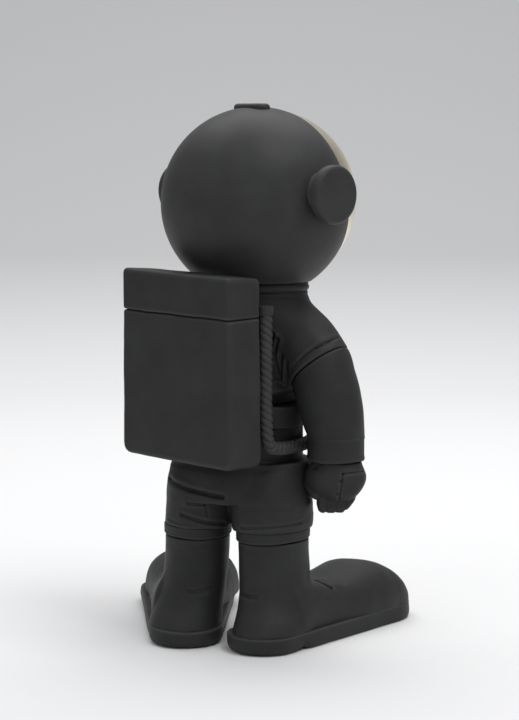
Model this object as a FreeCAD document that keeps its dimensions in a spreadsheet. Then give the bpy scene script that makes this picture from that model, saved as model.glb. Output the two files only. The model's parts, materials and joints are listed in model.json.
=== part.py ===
import FreeCAD
import Part
import Sketcher
import math
import os

Vector = FreeCAD.Vector
Rotation = FreeCAD.Rotation
Placement = FreeCAD.Placement

# Toy astronaut, 280 mm tall, moulded as hollow vinyl shells that swivel on pegs.
# +Z is up and the boots point towards -Y, so the figure's right side is -X.
# Every piece is drawn about the waist axis; the upper body is then twisted about it.

SIZES = {
    "origin_x": -6.885, "origin_y": 12.367,
    "twist": -23.0, "gap": 0.3, "wall": 3.0, "play": 0.06,
    # helmet
    "neck_y": -8.1, "helmet_z": 228.5, "helmet_radius": 50.15, "helmet_floor_z": 187.7,
    "visor_tilt": 12.0, "visor_radius": 47.0, "visor_forward": 7.95, "visor_wall": 2.5,
    "pad_length": 22.0, "pad_width": 9.4, "pad_top_z": 280.0, "pad_height": 5.0, "pad_back": 3.2,
    "ear_rise": 5.4, "ear_radius": 14.9, "ear_base_radius": 12.8, "ear_face_x": 60.3,
    "ear_thick": 5.0, "ear_edge": 1.3, "ear_root_x": 45.0,
    # neck
    "collar_z": 185.0, "collar_radius": 25.4, "collar_bead": 2.4,
    "neck_radius": 26.4, "neck_top_z": 182.6, "neck_plug_radius": 22.6, "neck_plug_z": 187.4,
    # backpack
    "pack_half": 41.2, "pack_front_y": 28.3, "pack_back_y": 51.2, "pack_low_z": 97.3,
    "pack_lid_z": 173.1, "pack_top_z": 193.9, "pack_corner": 3.6, "pack_edge": 2.8,
    "stud_radius": 3.0, "stud_reach": 6.0, "stud_x": 14.0, "stud_z": 146.0,
    # chest unit
    "chest_half": 19.0, "chest_front_y": -39.3, "chest_low_z": 139.0, "chest_top_z": 168.5,
    "chest_depth": 24.0, "chest_edge": 2.0, "knob_radius": 3.2, "knob_high": 2.2,
    "knob_pitch": 10.0, "knob_z": 160.0,
    # torso and belt
    "torso_low_z": 124.9, "waist_half": 31.0, "waist_depth": 26.5,
    "hip_top_z": 96.9, "belt_low_z": 112.9, "belt_top_z": 124.4,
    # arms
    "shoulder_x": 42.0, "shoulder_y": -11.6, "shoulder_z": 146.5, "shoulder_radius": 17.3,
    "arm_out": 0.62, "arm_forward": 0.116, "arm_down": 0.775,
    "wrist_x": 51.5, "wrist_y": -16.0, "cuff_low_z": 96.5, "cuff_top_z": 110.2,
    "cuff_radius": 14.1, "cuff_edge": 1.2,
    "palm_half": 12.4, "palm_long": 16.6, "palm_high": 11.6, "palm_z": 87.5,
    "finger_half": 7.6, "finger_long": 10.0, "finger_low_z": 69.5, "thumb_radius": 5.2,
    # trousers and hems
    "leg_x_left": 22.2, "leg_x_right": 20.6, "leg_y": 12.1, "hem_low_z": 54.6, "hem_top_z": 60.4,
    "hem_half": 17.8, "hem_depth": 22.4,
    # boots
    "boot_top_z": 54.3, "foot_out": 6.4, "toe_out_right": 13.2, "toe_out_left": 23.2,
    "heel_radius": 19.4, "heel_back": 17.4, "toe_radius": 26.8, "toe_ahead": 75.6,
    "sole_thick": 9.0, "sole_edge": 2.2, "shaft_half": 16.9, "shaft_depth": 20.8,
    # hoses
    "hose_radius": 3.5, "ferrule_radius": 4.0, "ferrule_top_z": 178.6, "ferrule_long": 7.0,
    # pegs
    "neck_peg_z": 177.8, "neck_peg_long": 17.0, "waist_peg_z": 104.0, "waist_peg_long": 27.6,
    "shoulder_peg_root": 9.0, "shoulder_peg_long": 18.5, "wrist_peg_z": 88.0, "wrist_peg_long": 17.0,
    "boot_peg_z": 42.0, "boot_peg_long": 26.0,
    "neck_peg_radius": 8.0, "waist_peg_radius": 9.0, "shoulder_peg_radius": 5.0,
    "wrist_peg_radius": 4.0, "boot_peg_radius": 6.0, "peg_lip": 1.6, "peg_head": 2.4,
}

doc = FreeCAD.newDocument("toy_astronaut")
sheet = doc.addObject("Spreadsheet::Sheet", "sizes")
for row, (alias, value) in enumerate(SIZES.items(), start=1):
    sheet.set("A%d" % row, alias)
    sheet.set("B%d" % row, str(value))
    sheet.setAlias("B%d" % row, alias)
doc.recompute()

# The jacket: (share of its height, half width, half depth, share of the neck's offset).
JACKET_SECTIONS = ((0.0, 30.5, 27.0, 0.0), (0.2, 27.5, 28.0, 0.1), (0.4, 27.8, 28.0, 0.3),
                   (0.6, 31.0, 27.5, 0.5), (0.8, 32.5, 26.5, 0.8), (0.92, 29.4, 26.4, 1.0))
# The shoulder cap inside its seam: (x, behind the neck, above the seam, extra radius, direction).
SHOULDER_SECTIONS = ((10.0, 0.0, 17.5, 0.8, (0.95, 0.0, -0.3)), (28.0, -1.5, 12.3, 0.4, (0.83, -0.08, -0.55)))
# The sleeve below its seam: (x, y, z, how much slimmer than the shoulder).
SLEEVE_SECTIONS = ((45.5, -11.9, 139.8, 0.6), (48.5, -12.6, 130.0, 1.0), (50.3, -14.2, 119.5, 1.8))
SLEEVE_END_SLIMMER = 3.7
SLEEVE_TOP_SLIMMER = 0.5
# The hips: (below their top, wider than the waist, deeper than the waist, centre y).
HIP_SECTIONS = ((0.0, 6.4, 1.0, 4.5), (3.0, 6.6, 1.2, 5.5), (7.0, 6.5, 1.8, 7.0), (13.0, 6.0, 1.8, 8.0),
                (20.0, 5.4, -0.5, 9.0))
# A trouser leg: (above the hem, wider than the hem, deeper than the hem, centre y, inward).
LEG_SECTIONS = ((0.0, 0.6, 0.5, 0.0, 0.2), (10.0, 1.6, 0.7, 0.0, 1.4), (30.0, -2.5, -2.5, -2.0, 1.5))
# A boot's shaft above the sole: (height, wider and deeper than the top, centre y, share of foot_out).
HEEL_SECTIONS = ((17.0, 0.5, 0.8, 2.2, 0.4), (7.0, 1.6, 2.6, 6.2, 0.8), (0.0, 2.4, 3.8, 9.6, 1.0))
SHAFT_STRAIGHT = 14.0
# The foot: (share of toe_ahead, half width, height above the sole), then the same past toe_ahead in mm.
INSTEP_SECTIONS = ((0.0, 18.6, 27.0), (0.3, 19.0, 21.3), (0.6, 23.2, 22.4), (0.85, 26.3, 22.6))
TOE_SECTIONS = ((6.0, 25.7, 19.5), (17.6, 19.4, 13.0), (23.8, 11.2, 7.5), (25.8, 4.4, 3.0))
# A hose's corners: (x, y, z), which arcs then round.
HOSE_CORNERS = ((39.0, 24.1, 173.6), (39.0, 24.1, 106.5), (35.6, 0.0, 104.2), (30.6, -18.0, 104.0),
                (22.5, -31.0, 107.5), (14.5, -35.4, 119.0), (12.5, -34.8, 136.0))
BEND_SHARE = 0.45  # how much of the shorter straight a bend may use
TOUCH = 0.01  # lengths closer than this are taken as equal

SIDES = (("left", 1), ("right", -1))
pieces = []


def size(alias):
    return float(sheet.get(alias))


ORIGIN = Vector(size("origin_x"), size("origin_y"), 0)
LOWER = Placement(ORIGIN, Rotation())
UPPER = Placement(ORIGIN, Rotation(Vector(0, 0, 1), size("twist")))


def boot_frame(side, sign):
    turn = Rotation(Vector(0, 0, 1), sign * size("toe_out_" + side))
    return LOWER * Placement(Vector(sign * size("leg_x_" + side), size("leg_y"), 0), turn)


# ---------------------------------------------------------------- helpers

def bound(kind, name, base=Vector(), turn=Rotation(), **sizes):
    """A Part object whose sizes are expressions on the sheet."""
    item = doc.addObject("Part::" + kind, name)
    for prop, expression in sizes.items():
        item.setExpression(prop, expression)
    item.Placement = Placement(base, turn)
    return item


def from_shape(name, shape):
    """A freely shaped solid, for forms that no primitive has."""
    item = doc.addObject("Part::Feature", name)
    item.Shape = shape
    return item


def cut(name, base, *tools):
    """The base less each tool in turn."""
    for number, tool in enumerate(tools):
        result = doc.addObject("Part::Cut", "%s_cut%d" % (name, number))
        result.Base = base
        result.Tool = tool
        base = result
    return base


def fuse(name, *items):
    result = doc.addObject("Part::MultiFuse", name + "_fuse")
    result.Shapes = list(items)
    return result


def rounded(name, base, radius, pick):
    """Rounds the edges that pick() chooses."""
    doc.recompute()
    result = doc.addObject("Part::Fillet", name + "_round")
    result.Base = base
    edges = [n for n, edge in enumerate(base.Shape.Edges, start=1) if pick(edge)]
    result.Edges = [(n, radius, radius) for n in edges]
    return result


def piece(label, item, frame):
    """Names a finished sub-part and puts it where its frame says."""
    doc.recompute()
    item.Label = label
    item.Placement = frame * item.Placement
    pieces.append(item)
    return item


def plane(body, role):
    return [item for item in body.Origin.OriginFeatures if item.Role == role][0]


def outline(body, name, role, points):
    """A closed sketch through points whose places are expressions on the sheet."""
    sketch = body.newObject("Sketcher::SketchObject", name)
    sketch.AttachmentSupport = [(plane(body, role), "")]
    sketch.MapMode = "FlatFace"
    places = [Vector(sheet_value(across), sheet_value(up), 0) for across, up in points]
    count = len(places)
    for n in range(count):
        sketch.addGeometry(Part.LineSegment(places[n], places[(n + 1) % count]), False)
    for n in range(count):
        sketch.addConstraint(Sketcher.Constraint("Coincident", n, 2, (n + 1) % count, 1))
    for n, (across, up) in enumerate(points):
        pin(sketch, n, "DistanceX", across, -2)
        pin(sketch, n, "DistanceY", up, -1)
    return sketch


def pin(sketch, n, kind, expression, axis):
    """Holds a corner at a distance from the sketch's origin, or on its axis at zero."""
    if expression == "0":
        sketch.addConstraint(Sketcher.Constraint("PointOnObject", n, 1, axis))
        return
    value = sheet_value(expression)
    number = sketch.addConstraint(Sketcher.Constraint(kind, -1, 1, n, 1, value))
    sketch.setExpression("Constraints[%d]" % number, expression)


def sheet_value(expression):
    return float(sheet.evalExpression(expression))


def turned(label, profile, frame):
    """A piece of revolution about its own Z axis, from a half profile of (radius, height)."""
    body = doc.addObject("PartDesign::Body", label + "_body")
    sketch = outline(body, label + "_profile", "XZ_Plane", profile)
    lathe = body.newObject("PartDesign::Revolution", label + "_turned")
    lathe.Profile = sketch
    lathe.ReferenceAxis = (sketch, ["V_Axis"])
    lathe.Angle = 360
    sketch.Visibility = False
    return piece(label, body, frame)


def mushroom(label, radius, long, frame):
    """A joint peg: a shaft with a wider head that snaps into its seat."""
    shaft = "sizes." + radius
    lip = shaft + " + sizes.peg_lip"
    top = "sizes." + long
    neck = top + " - sizes.peg_head"
    profile = [("0", "0"), (shaft, "0"), (shaft, neck), (lip, neck), (lip, top), ("0", top)]
    return turned(label, profile, frame)


def seat(name, radius, long, base, turn):
    """The bore and the wider pocket that a peg turns in."""
    bore = bound("Cylinder", name + "_bore", base, turn,
                 Radius="sizes.%s + sizes.play" % radius, Height="sizes.%s + sizes.gap" % long)
    neck = base + turn.multVec(Vector(0, 0, size(long) - size("peg_head") - size("gap")))
    pocket = bound("Cylinder", name + "_pocket", neck, turn,
                   Radius="sizes.%s + sizes.peg_lip + sizes.gap" % radius,
                   Height="sizes.peg_head + 2 * sizes.gap")
    return bore, pocket


def towards(direction):
    """The rotation that stands a piece's own Z along a direction."""
    return Rotation(Vector(0, 0, 1), direction)


def level_ellipse(centre, half_x, half_y):
    """A closed horizontal ellipse."""
    curve = Part.Ellipse(Vector(), max(half_x, half_y), min(half_x, half_y))
    wire = Part.Wire(curve.toShape())
    if half_y > half_x:
        wire.rotate(Vector(), Vector(0, 0, 1), 90)
    wire.translate(centre)
    return wire


def stack(sections, inset=0.0):
    """A loft through level ellipses: (height, half width, half depth, centre y, centre x)."""
    wires = [level_ellipse(Vector(x, y, z), wide - inset, deep - inset)
             for z, wide, deep, y, x in sections]
    return Part.makeLoft(wires, True, False)


def tube(sections):
    """A loft through circles: (centre, radius, direction)."""
    wires = [Part.Wire(Part.makeCircle(radius, centre, direction))
             for centre, radius, direction in sections]
    return Part.makeLoft(wires, True, False)


def on_side(sign, x, y, z):
    return Vector(sign * x, y, z)


# ---------------------------------------------------------------- head

def helmet_centre():
    return Vector(0, size("neck_y"), size("helmet_z"))


def visor_axis():
    tilt = math.radians(size("visor_tilt"))
    return Vector(0, -math.cos(tilt), math.sin(tilt))


def visor_plane():
    """How far ahead of the helmet's centre its surface meets the visor's dome."""
    ahead = size("visor_forward")
    return (ahead ** 2 + size("helmet_radius") ** 2 - size("visor_radius") ** 2) / (2 * ahead)


def helmet_half_space(name, height):
    """A cylinder that holds everything below a height."""
    base = Vector(0, size("neck_y"), height - size("helmet_radius"))
    return bound("Cylinder", name, base, Radius="sizes.helmet_radius", Height="sizes.helmet_radius")


def build_helmet():
    centre = helmet_centre()
    ball = bound("Sphere", "helmet_ball", centre, Radius="sizes.helmet_radius")
    outer = cut("helmet_outer", ball, helmet_half_space("helmet_foot", size("helmet_floor_z")))
    core = bound("Sphere", "helmet_core", centre, Radius="sizes.helmet_radius - sizes.wall")
    floor = helmet_half_space("helmet_floor", size("helmet_floor_z") + size("wall"))
    inner = cut("helmet_inner", core, floor)
    window = bound("Cylinder", "visor_window", centre + visor_axis() * visor_plane(),
                   towards(visor_axis()), Radius="sizes.helmet_radius", Height="sizes.helmet_radius")
    bore = bound("Cylinder", "neck_bore", Vector(0, size("neck_y"), size("neck_top_z")),
                 Radius="sizes.neck_peg_radius + sizes.play", Height="sizes.wall * 5")
    piece("helmet_shell", cut("helmet_shell", outer, inner, window, bore), UPPER)
    build_visor(centre, window)
    build_crown_pad(ball)
    for side, sign in SIDES:
        build_ear(side, sign, ball)


def build_visor(centre, window):
    middle = centre + visor_axis() * size("visor_forward")
    ahead = towards(visor_axis())
    dome = bound("Sphere", "visor_dome", middle, ahead, Radius="sizes.visor_radius")
    inside = bound("Sphere", "visor_inside", middle, ahead,
                   Radius="sizes.visor_radius - sizes.visor_wall")
    bowl = cut("visor_bowl", dome, inside)
    visor = doc.addObject("Part::Common", "visor_front")
    visor.Base = bowl
    visor.Tool = window
    piece("visor", visor, UPPER)


def build_crown_pad(ball):
    """A flat oblong pad with round ends on top of the helmet."""
    low = size("pad_top_z") - size("pad_height")
    middle = Vector(0, size("neck_y") + size("pad_back"), low)
    half = (size("pad_length") - size("pad_width")) / 2
    ends = [bound("Cylinder", "pad_end%d" % n, middle + Vector(sign * half, 0, 0),
                  Radius="sizes.pad_width / 2", Height="sizes.pad_height")
            for n, sign in enumerate((1, -1))]
    bar = bound("Box", "pad_bar", middle - Vector(half, size("pad_width") / 2, 0),
                Length="sizes.pad_length - sizes.pad_width", Width="sizes.pad_width",
                Height="sizes.pad_height")
    piece("crown_pad", cut("crown_pad", fuse("pad", bar, *ends), ball), UPPER)


def build_ear(side, sign, ball):
    outward = towards(Vector(sign, 0, 0))
    axis = helmet_centre() + Vector(0, 0, size("ear_rise"))
    base = bound("Cylinder", "ear_stub_" + side, axis + Vector(sign * size("ear_root_x"), 0, 0),
                 outward, Radius="sizes.ear_base_radius",
                 Height="sizes.ear_face_x - sizes.ear_thick - sizes.ear_root_x")
    piece("ear_base_" + side, cut("ear_base_" + side, base, ball), UPPER)
    disc_x = sign * (size("ear_face_x") - size("ear_thick"))
    disc = bound("Cylinder", "ear_blank_" + side, axis + Vector(disc_x, 0, 0), outward,
                 Radius="sizes.ear_radius", Height="sizes.ear_thick")
    rim = rounded("ear_disc_" + side, disc, size("ear_edge"), is_circle)
    piece("ear_disc_" + side, rim, UPPER)


def is_circle(edge):
    return isinstance(edge.Curve, Part.Circle)


# ---------------------------------------------------------------- torso

def torso_sections():
    """Level sections of the jacket, from the waist up to the collar."""
    low, top = size("torso_low_z"), size("neck_top_z")
    y, neck = size("neck_y"), size("neck_radius")
    sections = [(low + share * (top - low), wide, deep, back * y, 0.0)
                for share, wide, deep, back in JACKET_SECTIONS]
    return sections + [(top, neck, neck, y, 0.0)]


def arm_direction(sign):
    """The way the upper arm leaves the shoulder."""
    way = on_side(sign, size("arm_out"), -size("arm_forward"), -size("arm_down"))
    return way.normalize()


def shoulder_centre(sign):
    return on_side(sign, size("shoulder_x"), size("shoulder_y"), size("shoulder_z"))


def shoulder_shape(sign):
    """The sloping shoulder cap, from inside the chest out to the sleeve's seam."""
    radius = size("shoulder_radius")
    seam = shoulder_centre(sign)
    sections = [(on_side(sign, x, size("neck_y") + y, size("shoulder_z") + z), radius + extra,
                 on_side(sign, *way)) for x, y, z, extra, way in SHOULDER_SECTIONS]
    return tube(sections + [(seam, radius, arm_direction(sign))])


def behind_pack_plane():
    """Everything behind the plane where the backpack lies against the jacket."""
    half = size("pack_half")
    return bound("Box", "pack_plane", Vector(-half, size("pack_front_y"), size("pack_low_z")),
                 Length="2 * sizes.pack_half", Width="sizes.pack_half",
                 Height="sizes.pack_top_z - sizes.pack_low_z")


def build_torso():
    trunk = from_shape("trunk", stack(torso_sections()))
    caps = [from_shape("shoulder_" + side, shoulder_shape(sign)) for side, sign in SIDES]
    plug = bound("Cylinder", "neck_plug", Vector(0, size("neck_y"), size("neck_top_z") - size("wall")),
                 Radius="sizes.neck_plug_radius",
                 Height="sizes.neck_plug_z - sizes.neck_top_z + sizes.wall")
    outer = fuse("torso", trunk, plug, *caps)
    wall = size("wall")
    inner = torso_sections()[:-2]
    inner[0] = (inner[0][0] + wall,) + inner[0][1:]
    cavity = from_shape("torso_cavity", stack(inner, wall))
    tools = [behind_pack_plane(), cavity]
    tools += seat("neck_seat", "neck_peg_radius", "neck_peg_long", neck_peg_base(), Rotation())[:1]
    tools += seat("waist_seat", "waist_peg_radius", "waist_peg_long", waist_peg_base(), Rotation())[:1]
    for side, sign in SIDES:
        base, turn = shoulder_peg_place(sign)
        tools += seat("shoulder_seat_" + side, "shoulder_peg_radius", "shoulder_peg_long", base, turn)
    tools += [stud(sign) for side, sign in SIDES]
    piece("torso_shell", cut("torso_shell", outer, *tools), UPPER)
    collar = bound("Torus", "collar_bead", Vector(0, size("neck_y"), size("collar_z")),
                   Radius1="sizes.collar_radius", Radius2="sizes.collar_bead")
    piece("collar_ring", collar, UPPER)
    mushroom("neck_peg", "neck_peg_radius", "neck_peg_long", UPPER * Placement(neck_peg_base(), Rotation()))
    return outer


def neck_peg_base():
    return Vector(0, size("neck_y"), size("neck_peg_z"))


def waist_peg_base():
    return Vector(0, 0, size("waist_peg_z"))


def shoulder_peg_place(sign):
    """A shoulder peg starts inside the sleeve and points back into the chest."""
    way = arm_direction(sign)
    return shoulder_centre(sign) + way * size("shoulder_peg_root"), towards(way * -1)


# ---------------------------------------------------------------- backpack

def stud(sign):
    """The bore of one of the two studs that locate the backpack."""
    base = Vector(sign * size("stud_x"), size("pack_front_y") - size("stud_reach"), size("stud_z"))
    return bound("Cylinder", "stud_bore", base, towards(Vector(0, 1, 0)),
                 Radius="sizes.stud_radius + sizes.play", Height="2 * sizes.stud_reach")


def pack_block(name, low, high):
    """A length of the backpack with its two back corners well rounded."""
    body = doc.addObject("PartDesign::Body", name + "_body")
    profile = [("-sizes.pack_half", "sizes.pack_front_y"), ("sizes.pack_half", "sizes.pack_front_y"),
               ("sizes.pack_half", "sizes.pack_back_y"), ("-sizes.pack_half", "sizes.pack_back_y")]
    sketch = outline(body, name + "_plan", "XY_Plane", profile)
    sketch.AttachmentOffset = Placement(Vector(0, 0, size(low)), Rotation())
    pad = body.newObject("PartDesign::Pad", name + "_pad")
    pad.Profile = sketch
    pad.setExpression("Length", "sizes.%s - sizes.%s" % (high, low))
    sketch.Visibility = False
    doc.recompute()
    upright = [edge_name(n) for n, edge in enumerate(pad.Shape.Edges, start=1) if is_back_upright(edge)]
    corners = dress(body, name + "_corners", pad, upright, "sizes.pack_corner")
    flat = [edge_name(n) for n, edge in enumerate(corners.Shape.Edges, start=1)
            if abs(edge.BoundBox.ZLength) < TOUCH]
    outer_z = size(low) if low == "pack_low_z" else size(high)
    ends = [label for label in flat
            if abs(corners.Shape.getElement(label).BoundBox.ZMin - outer_z) < TOUCH]
    dress(body, name + "_edges", corners, ends, "sizes.pack_edge")
    return body


def edge_name(number):
    return "Edge%d" % number


def is_back_upright(edge):
    box = edge.BoundBox
    return box.ZLength > 1.0 and box.XLength < TOUCH and abs(box.YMin - size("pack_back_y")) < TOUCH


def dress(body, name, base, edges, radius):
    """Fillets named edges of a feature."""
    fillet = body.newObject("PartDesign::Fillet", name)
    fillet.Base = (base, edges)
    fillet.setExpression("Radius", radius)
    doc.recompute()
    return fillet


def pack_hollow():
    """The space inside the lower part of the backpack."""
    base = Vector(-size("pack_half") + size("wall"), size("pack_front_y") + size("wall"),
                  size("pack_low_z") + size("wall"))
    box = bound("Box", "pack_hollow", base, Length="2 * (sizes.pack_half - sizes.wall)",
                Width="sizes.pack_back_y - sizes.pack_front_y - 2 * sizes.wall",
                Height="sizes.pack_lid_z - sizes.pack_low_z - 2 * sizes.wall")
    return rounded("pack_hollow", box, size("pack_corner") / 2, is_hollow_back)


def is_hollow_back(edge):
    box = edge.BoundBox
    return box.ZLength > 1.0 and abs(box.YMin - size("pack_back_y") + size("wall")) < TOUCH


def build_backpack():
    shell = pack_block("pack_shell", "pack_low_z", "pack_lid_z")
    tools = [pack_hollow()] + [stud(sign) for side, sign in SIDES]
    piece("backpack_shell", cut("backpack_shell", shell, *tools), UPPER)
    piece("backpack_lid", pack_block("pack_lid", "pack_lid_z", "pack_top_z"), UPPER)
    for side, sign in SIDES:
        base = Vector(sign * size("stud_x"), size("pack_front_y") - size("stud_reach"), size("stud_z"))
        pin_solid = bound("Cylinder", "stud_pin_" + side, base, towards(Vector(0, 1, 0)),
                          Radius="sizes.stud_radius", Height="2 * sizes.stud_reach")
        piece("backpack_stud_" + side, pin_solid, UPPER)


# ---------------------------------------------------------------- chest unit and hoses

def build_chest(torso):
    base = Vector(-size("chest_half"), size("chest_front_y"), size("chest_low_z"))
    block = bound("Box", "chest_block", base, Length="2 * sizes.chest_half", Width="sizes.chest_depth",
                  Height="sizes.chest_top_z - sizes.chest_low_z")
    front = size("chest_front_y")
    soft = rounded("chest_soft", block, size("chest_edge"), lambda edge: edge.BoundBox.YMin < front + TOUCH)
    piece("chest_box", cut("chest_box", soft, torso), UPPER)
    for number in range(3):
        x = (number - 1) * size("knob_pitch")
        knob = bound("Cylinder", "knob_blank%d" % number, Vector(x, size("chest_front_y"), size("knob_z")),
                     towards(Vector(0, -1, 0)), Radius="sizes.knob_radius", Height="sizes.knob_high")
        piece("chest_knob_%d" % (number + 1), knob, UPPER)


def hose_route(sign):
    """Down beside the backpack, forward round the waist, then up into the chest unit."""
    return [on_side(sign, *corner) for corner in HOSE_CORNERS]


def rounded_path(points):
    """Straight runs joined by tangent arcs as large as the shorter run beside them allows."""
    edges = []
    radii = []
    start = points[0]
    for before, corner, after in zip(points, points[1:], points[2:]):
        back, ahead = before - corner, after - corner
        reach = BEND_SHARE * min(back.Length, ahead.Length)
        enter = corner + back.normalize() * reach
        leave = corner + ahead.normalize() * reach
        half_turn = (math.pi - back.getAngle(ahead)) / 2
        radius = reach / math.tan(half_turn)
        bisector = (back + ahead).normalize()
        centre = corner + bisector * math.hypot(radius, reach)
        middle = centre - bisector * radius
        edges.append(Part.LineSegment(start, enter).toShape())
        edges.append(Part.Arc(enter, middle, leave).toShape())
        radii.append(radius)
        start = leave
    edges.append(Part.LineSegment(start, points[-1]).toShape())
    return Part.Wire(edges), radii


def build_hose(side, sign):
    points = hose_route(sign)
    path, radii = rounded_path(points)
    radius = size("hose_radius")
    ring = Part.Wire(Part.makeCircle(radius, points[0], points[1] - points[0]))
    hose = path.makePipeShell([ring], True, False)
    ideal = math.pi * radius ** 2 * path.Length
    print("hose", side, "length", round(path.Length, 1), "radii", [round(r, 1) for r in radii],
          "volume ratio", round(hose.Volume / ideal, 4))
    piece("hose_" + side, from_shape("hose_solid_" + side, hose), UPPER)
    top = bound("Cylinder", "ferrule_top_blank_" + side, points[0],
                Radius="sizes.ferrule_radius", Height="sizes.ferrule_top_z - %g" % points[0].z)
    piece("hose_ferrule_top_" + side, top, UPPER)
    last = (points[-1] - points[-2]).normalize()
    end = bound("Cylinder", "ferrule_end_blank_" + side, points[-1], towards(last),
                Radius="sizes.ferrule_radius", Height="sizes.ferrule_long")
    chest = Vector(-size("chest_half"), size("chest_front_y"), size("chest_low_z"))
    above = bound("Box", "ferrule_stop_" + side, chest, Length="2 * sizes.chest_half",
                  Width="sizes.chest_depth", Height="sizes.chest_depth")
    piece("hose_ferrule_chest_" + side, cut("ferrule_end_" + side, end, above), UPPER)


# ---------------------------------------------------------------- arms and gloves

def sleeve_sections(sign):
    """The sleeve leaves the shoulder's seam and curves down to the wrist."""
    way = arm_direction(sign)
    down = Vector(0, 0, -1)
    radius = size("shoulder_radius")
    start = shoulder_centre(sign) + way * size("gap")
    ways = (way, (way + down).normalize(), down)
    middle = [(on_side(sign, x, y, z), radius - slimmer, facing)
              for (x, y, z, slimmer), facing in zip(SLEEVE_SECTIONS, ways)]
    end = on_side(sign, size("wrist_x"), size("wrist_y"), size("cuff_top_z"))
    return [(start, radius - SLEEVE_TOP_SLIMMER, way)] + middle + [(end, radius - SLEEVE_END_SLIMMER, down)]


def build_arm(side, sign):
    sleeve = from_shape("sleeve_blank_" + side, tube(sleeve_sections(sign)))
    base, turn = shoulder_peg_place(sign)
    bore = bound("Cylinder", "sleeve_bore_" + side, base, turn,
                 Radius="sizes.shoulder_peg_radius + sizes.play", Height="sizes.shoulder_peg_long")
    piece("sleeve_" + side, cut("sleeve_" + side, sleeve, bore), UPPER)
    mushroom("shoulder_peg_" + side, "shoulder_peg_radius", "shoulder_peg_long",
             UPPER * Placement(base, turn))
    wrist = on_side(sign, size("wrist_x"), size("wrist_y"), size("cuff_low_z"))
    blank = bound("Cylinder", "cuff_blank_" + side, wrist, Radius="sizes.cuff_radius",
                  Height="sizes.cuff_top_z - sizes.cuff_low_z")
    soft = rounded("cuff_soft_" + side, blank, size("cuff_edge"), is_circle)
    peg = on_side(sign, size("wrist_x"), size("wrist_y"), size("wrist_peg_z"))
    tools = seat("wrist_seat_" + side, "wrist_peg_radius", "wrist_peg_long", peg, Rotation())
    piece("cuff_" + side, cut("cuff_" + side, soft, *tools), UPPER)
    build_glove(side, sign, peg)


def build_glove(side, sign, peg):
    x, y = sign * size("wrist_x"), size("wrist_y")
    palm = bound("Ellipsoid", "palm_" + side, Vector(x, y, size("palm_z")),
                 Radius1="sizes.palm_high", Radius2="sizes.palm_half", Radius3="sizes.palm_long",
                 Angle1="-90", Angle2="90", Angle3="360")
    corner = Vector(x - size("finger_half"), y - size("finger_long"), size("finger_low_z"))
    fingers = bound("Box", "finger_block_" + side, corner, Length="2 * sizes.finger_half",
                    Width="sizes.finger_long * 1.7", Height="sizes.palm_z - sizes.finger_low_z")
    curled = rounded("fingers_" + side, fingers, size("thumb_radius") - 2, is_low_or_upright)
    thumb_place = Vector(x - sign * size("palm_half") * 0.55, y - size("palm_long") * 0.45, size("palm_z"))
    thumb = bound("Ellipsoid", "thumb_" + side, thumb_place, Radius1="sizes.thumb_radius * 1.5",
                  Radius2="sizes.thumb_radius", Radius3="sizes.thumb_radius * 1.3",
                  Angle1="-90", Angle2="90", Angle3="360")
    above = bound("Cylinder", "glove_stop_" + side, Vector(x, y, size("cuff_low_z") - size("gap")),
                  Radius="sizes.palm_long * 2", Height="sizes.palm_long")
    bore = bound("Cylinder", "glove_bore_" + side, peg,
                 Radius="sizes.wrist_peg_radius + sizes.play", Height="sizes.wrist_peg_long")
    fist = fuse("glove_" + side, palm, curled, thumb)
    piece("glove_" + side, cut("glove_" + side, fist, above, bore), UPPER)
    mushroom("wrist_peg_" + side, "wrist_peg_radius", "wrist_peg_long", UPPER * Placement(peg, Rotation()))


def is_low_or_upright(edge):
    return edge.BoundBox.ZMin < size("finger_low_z") + TOUCH


# ---------------------------------------------------------------- belt, trousers and hems

def waist_sections():
    """The straight waist of the trousers, which clears the backpack at any turn."""
    wide, deep = size("waist_half") - 0.6, size("waist_depth") - 0.6
    return [(size("belt_low_z"), wide, deep, 0.0, 0.0), (size("hip_top_z") - 2.0, wide, deep, 0.0, 0.0)]


def hip_sections():
    """Level sections of the hips, from just under the backpack down to the crotch."""
    wide, deep, top = size("waist_half"), size("waist_depth"), size("hip_top_z")
    return [(top - drop, wide + wider, deep + deeper, y, 0.0) for drop, wider, deeper, y in HIP_SECTIONS]


def leg_sections(sign):
    """Level sections of a trouser leg in its boot's own frame."""
    wide, deep, low = size("hem_half"), size("hem_depth"), size("hem_top_z")
    return [(low + rise, wide + wider, deep + deeper, y, -sign * inward)
            for rise, wider, deeper, y, inward in LEG_SECTIONS]


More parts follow.
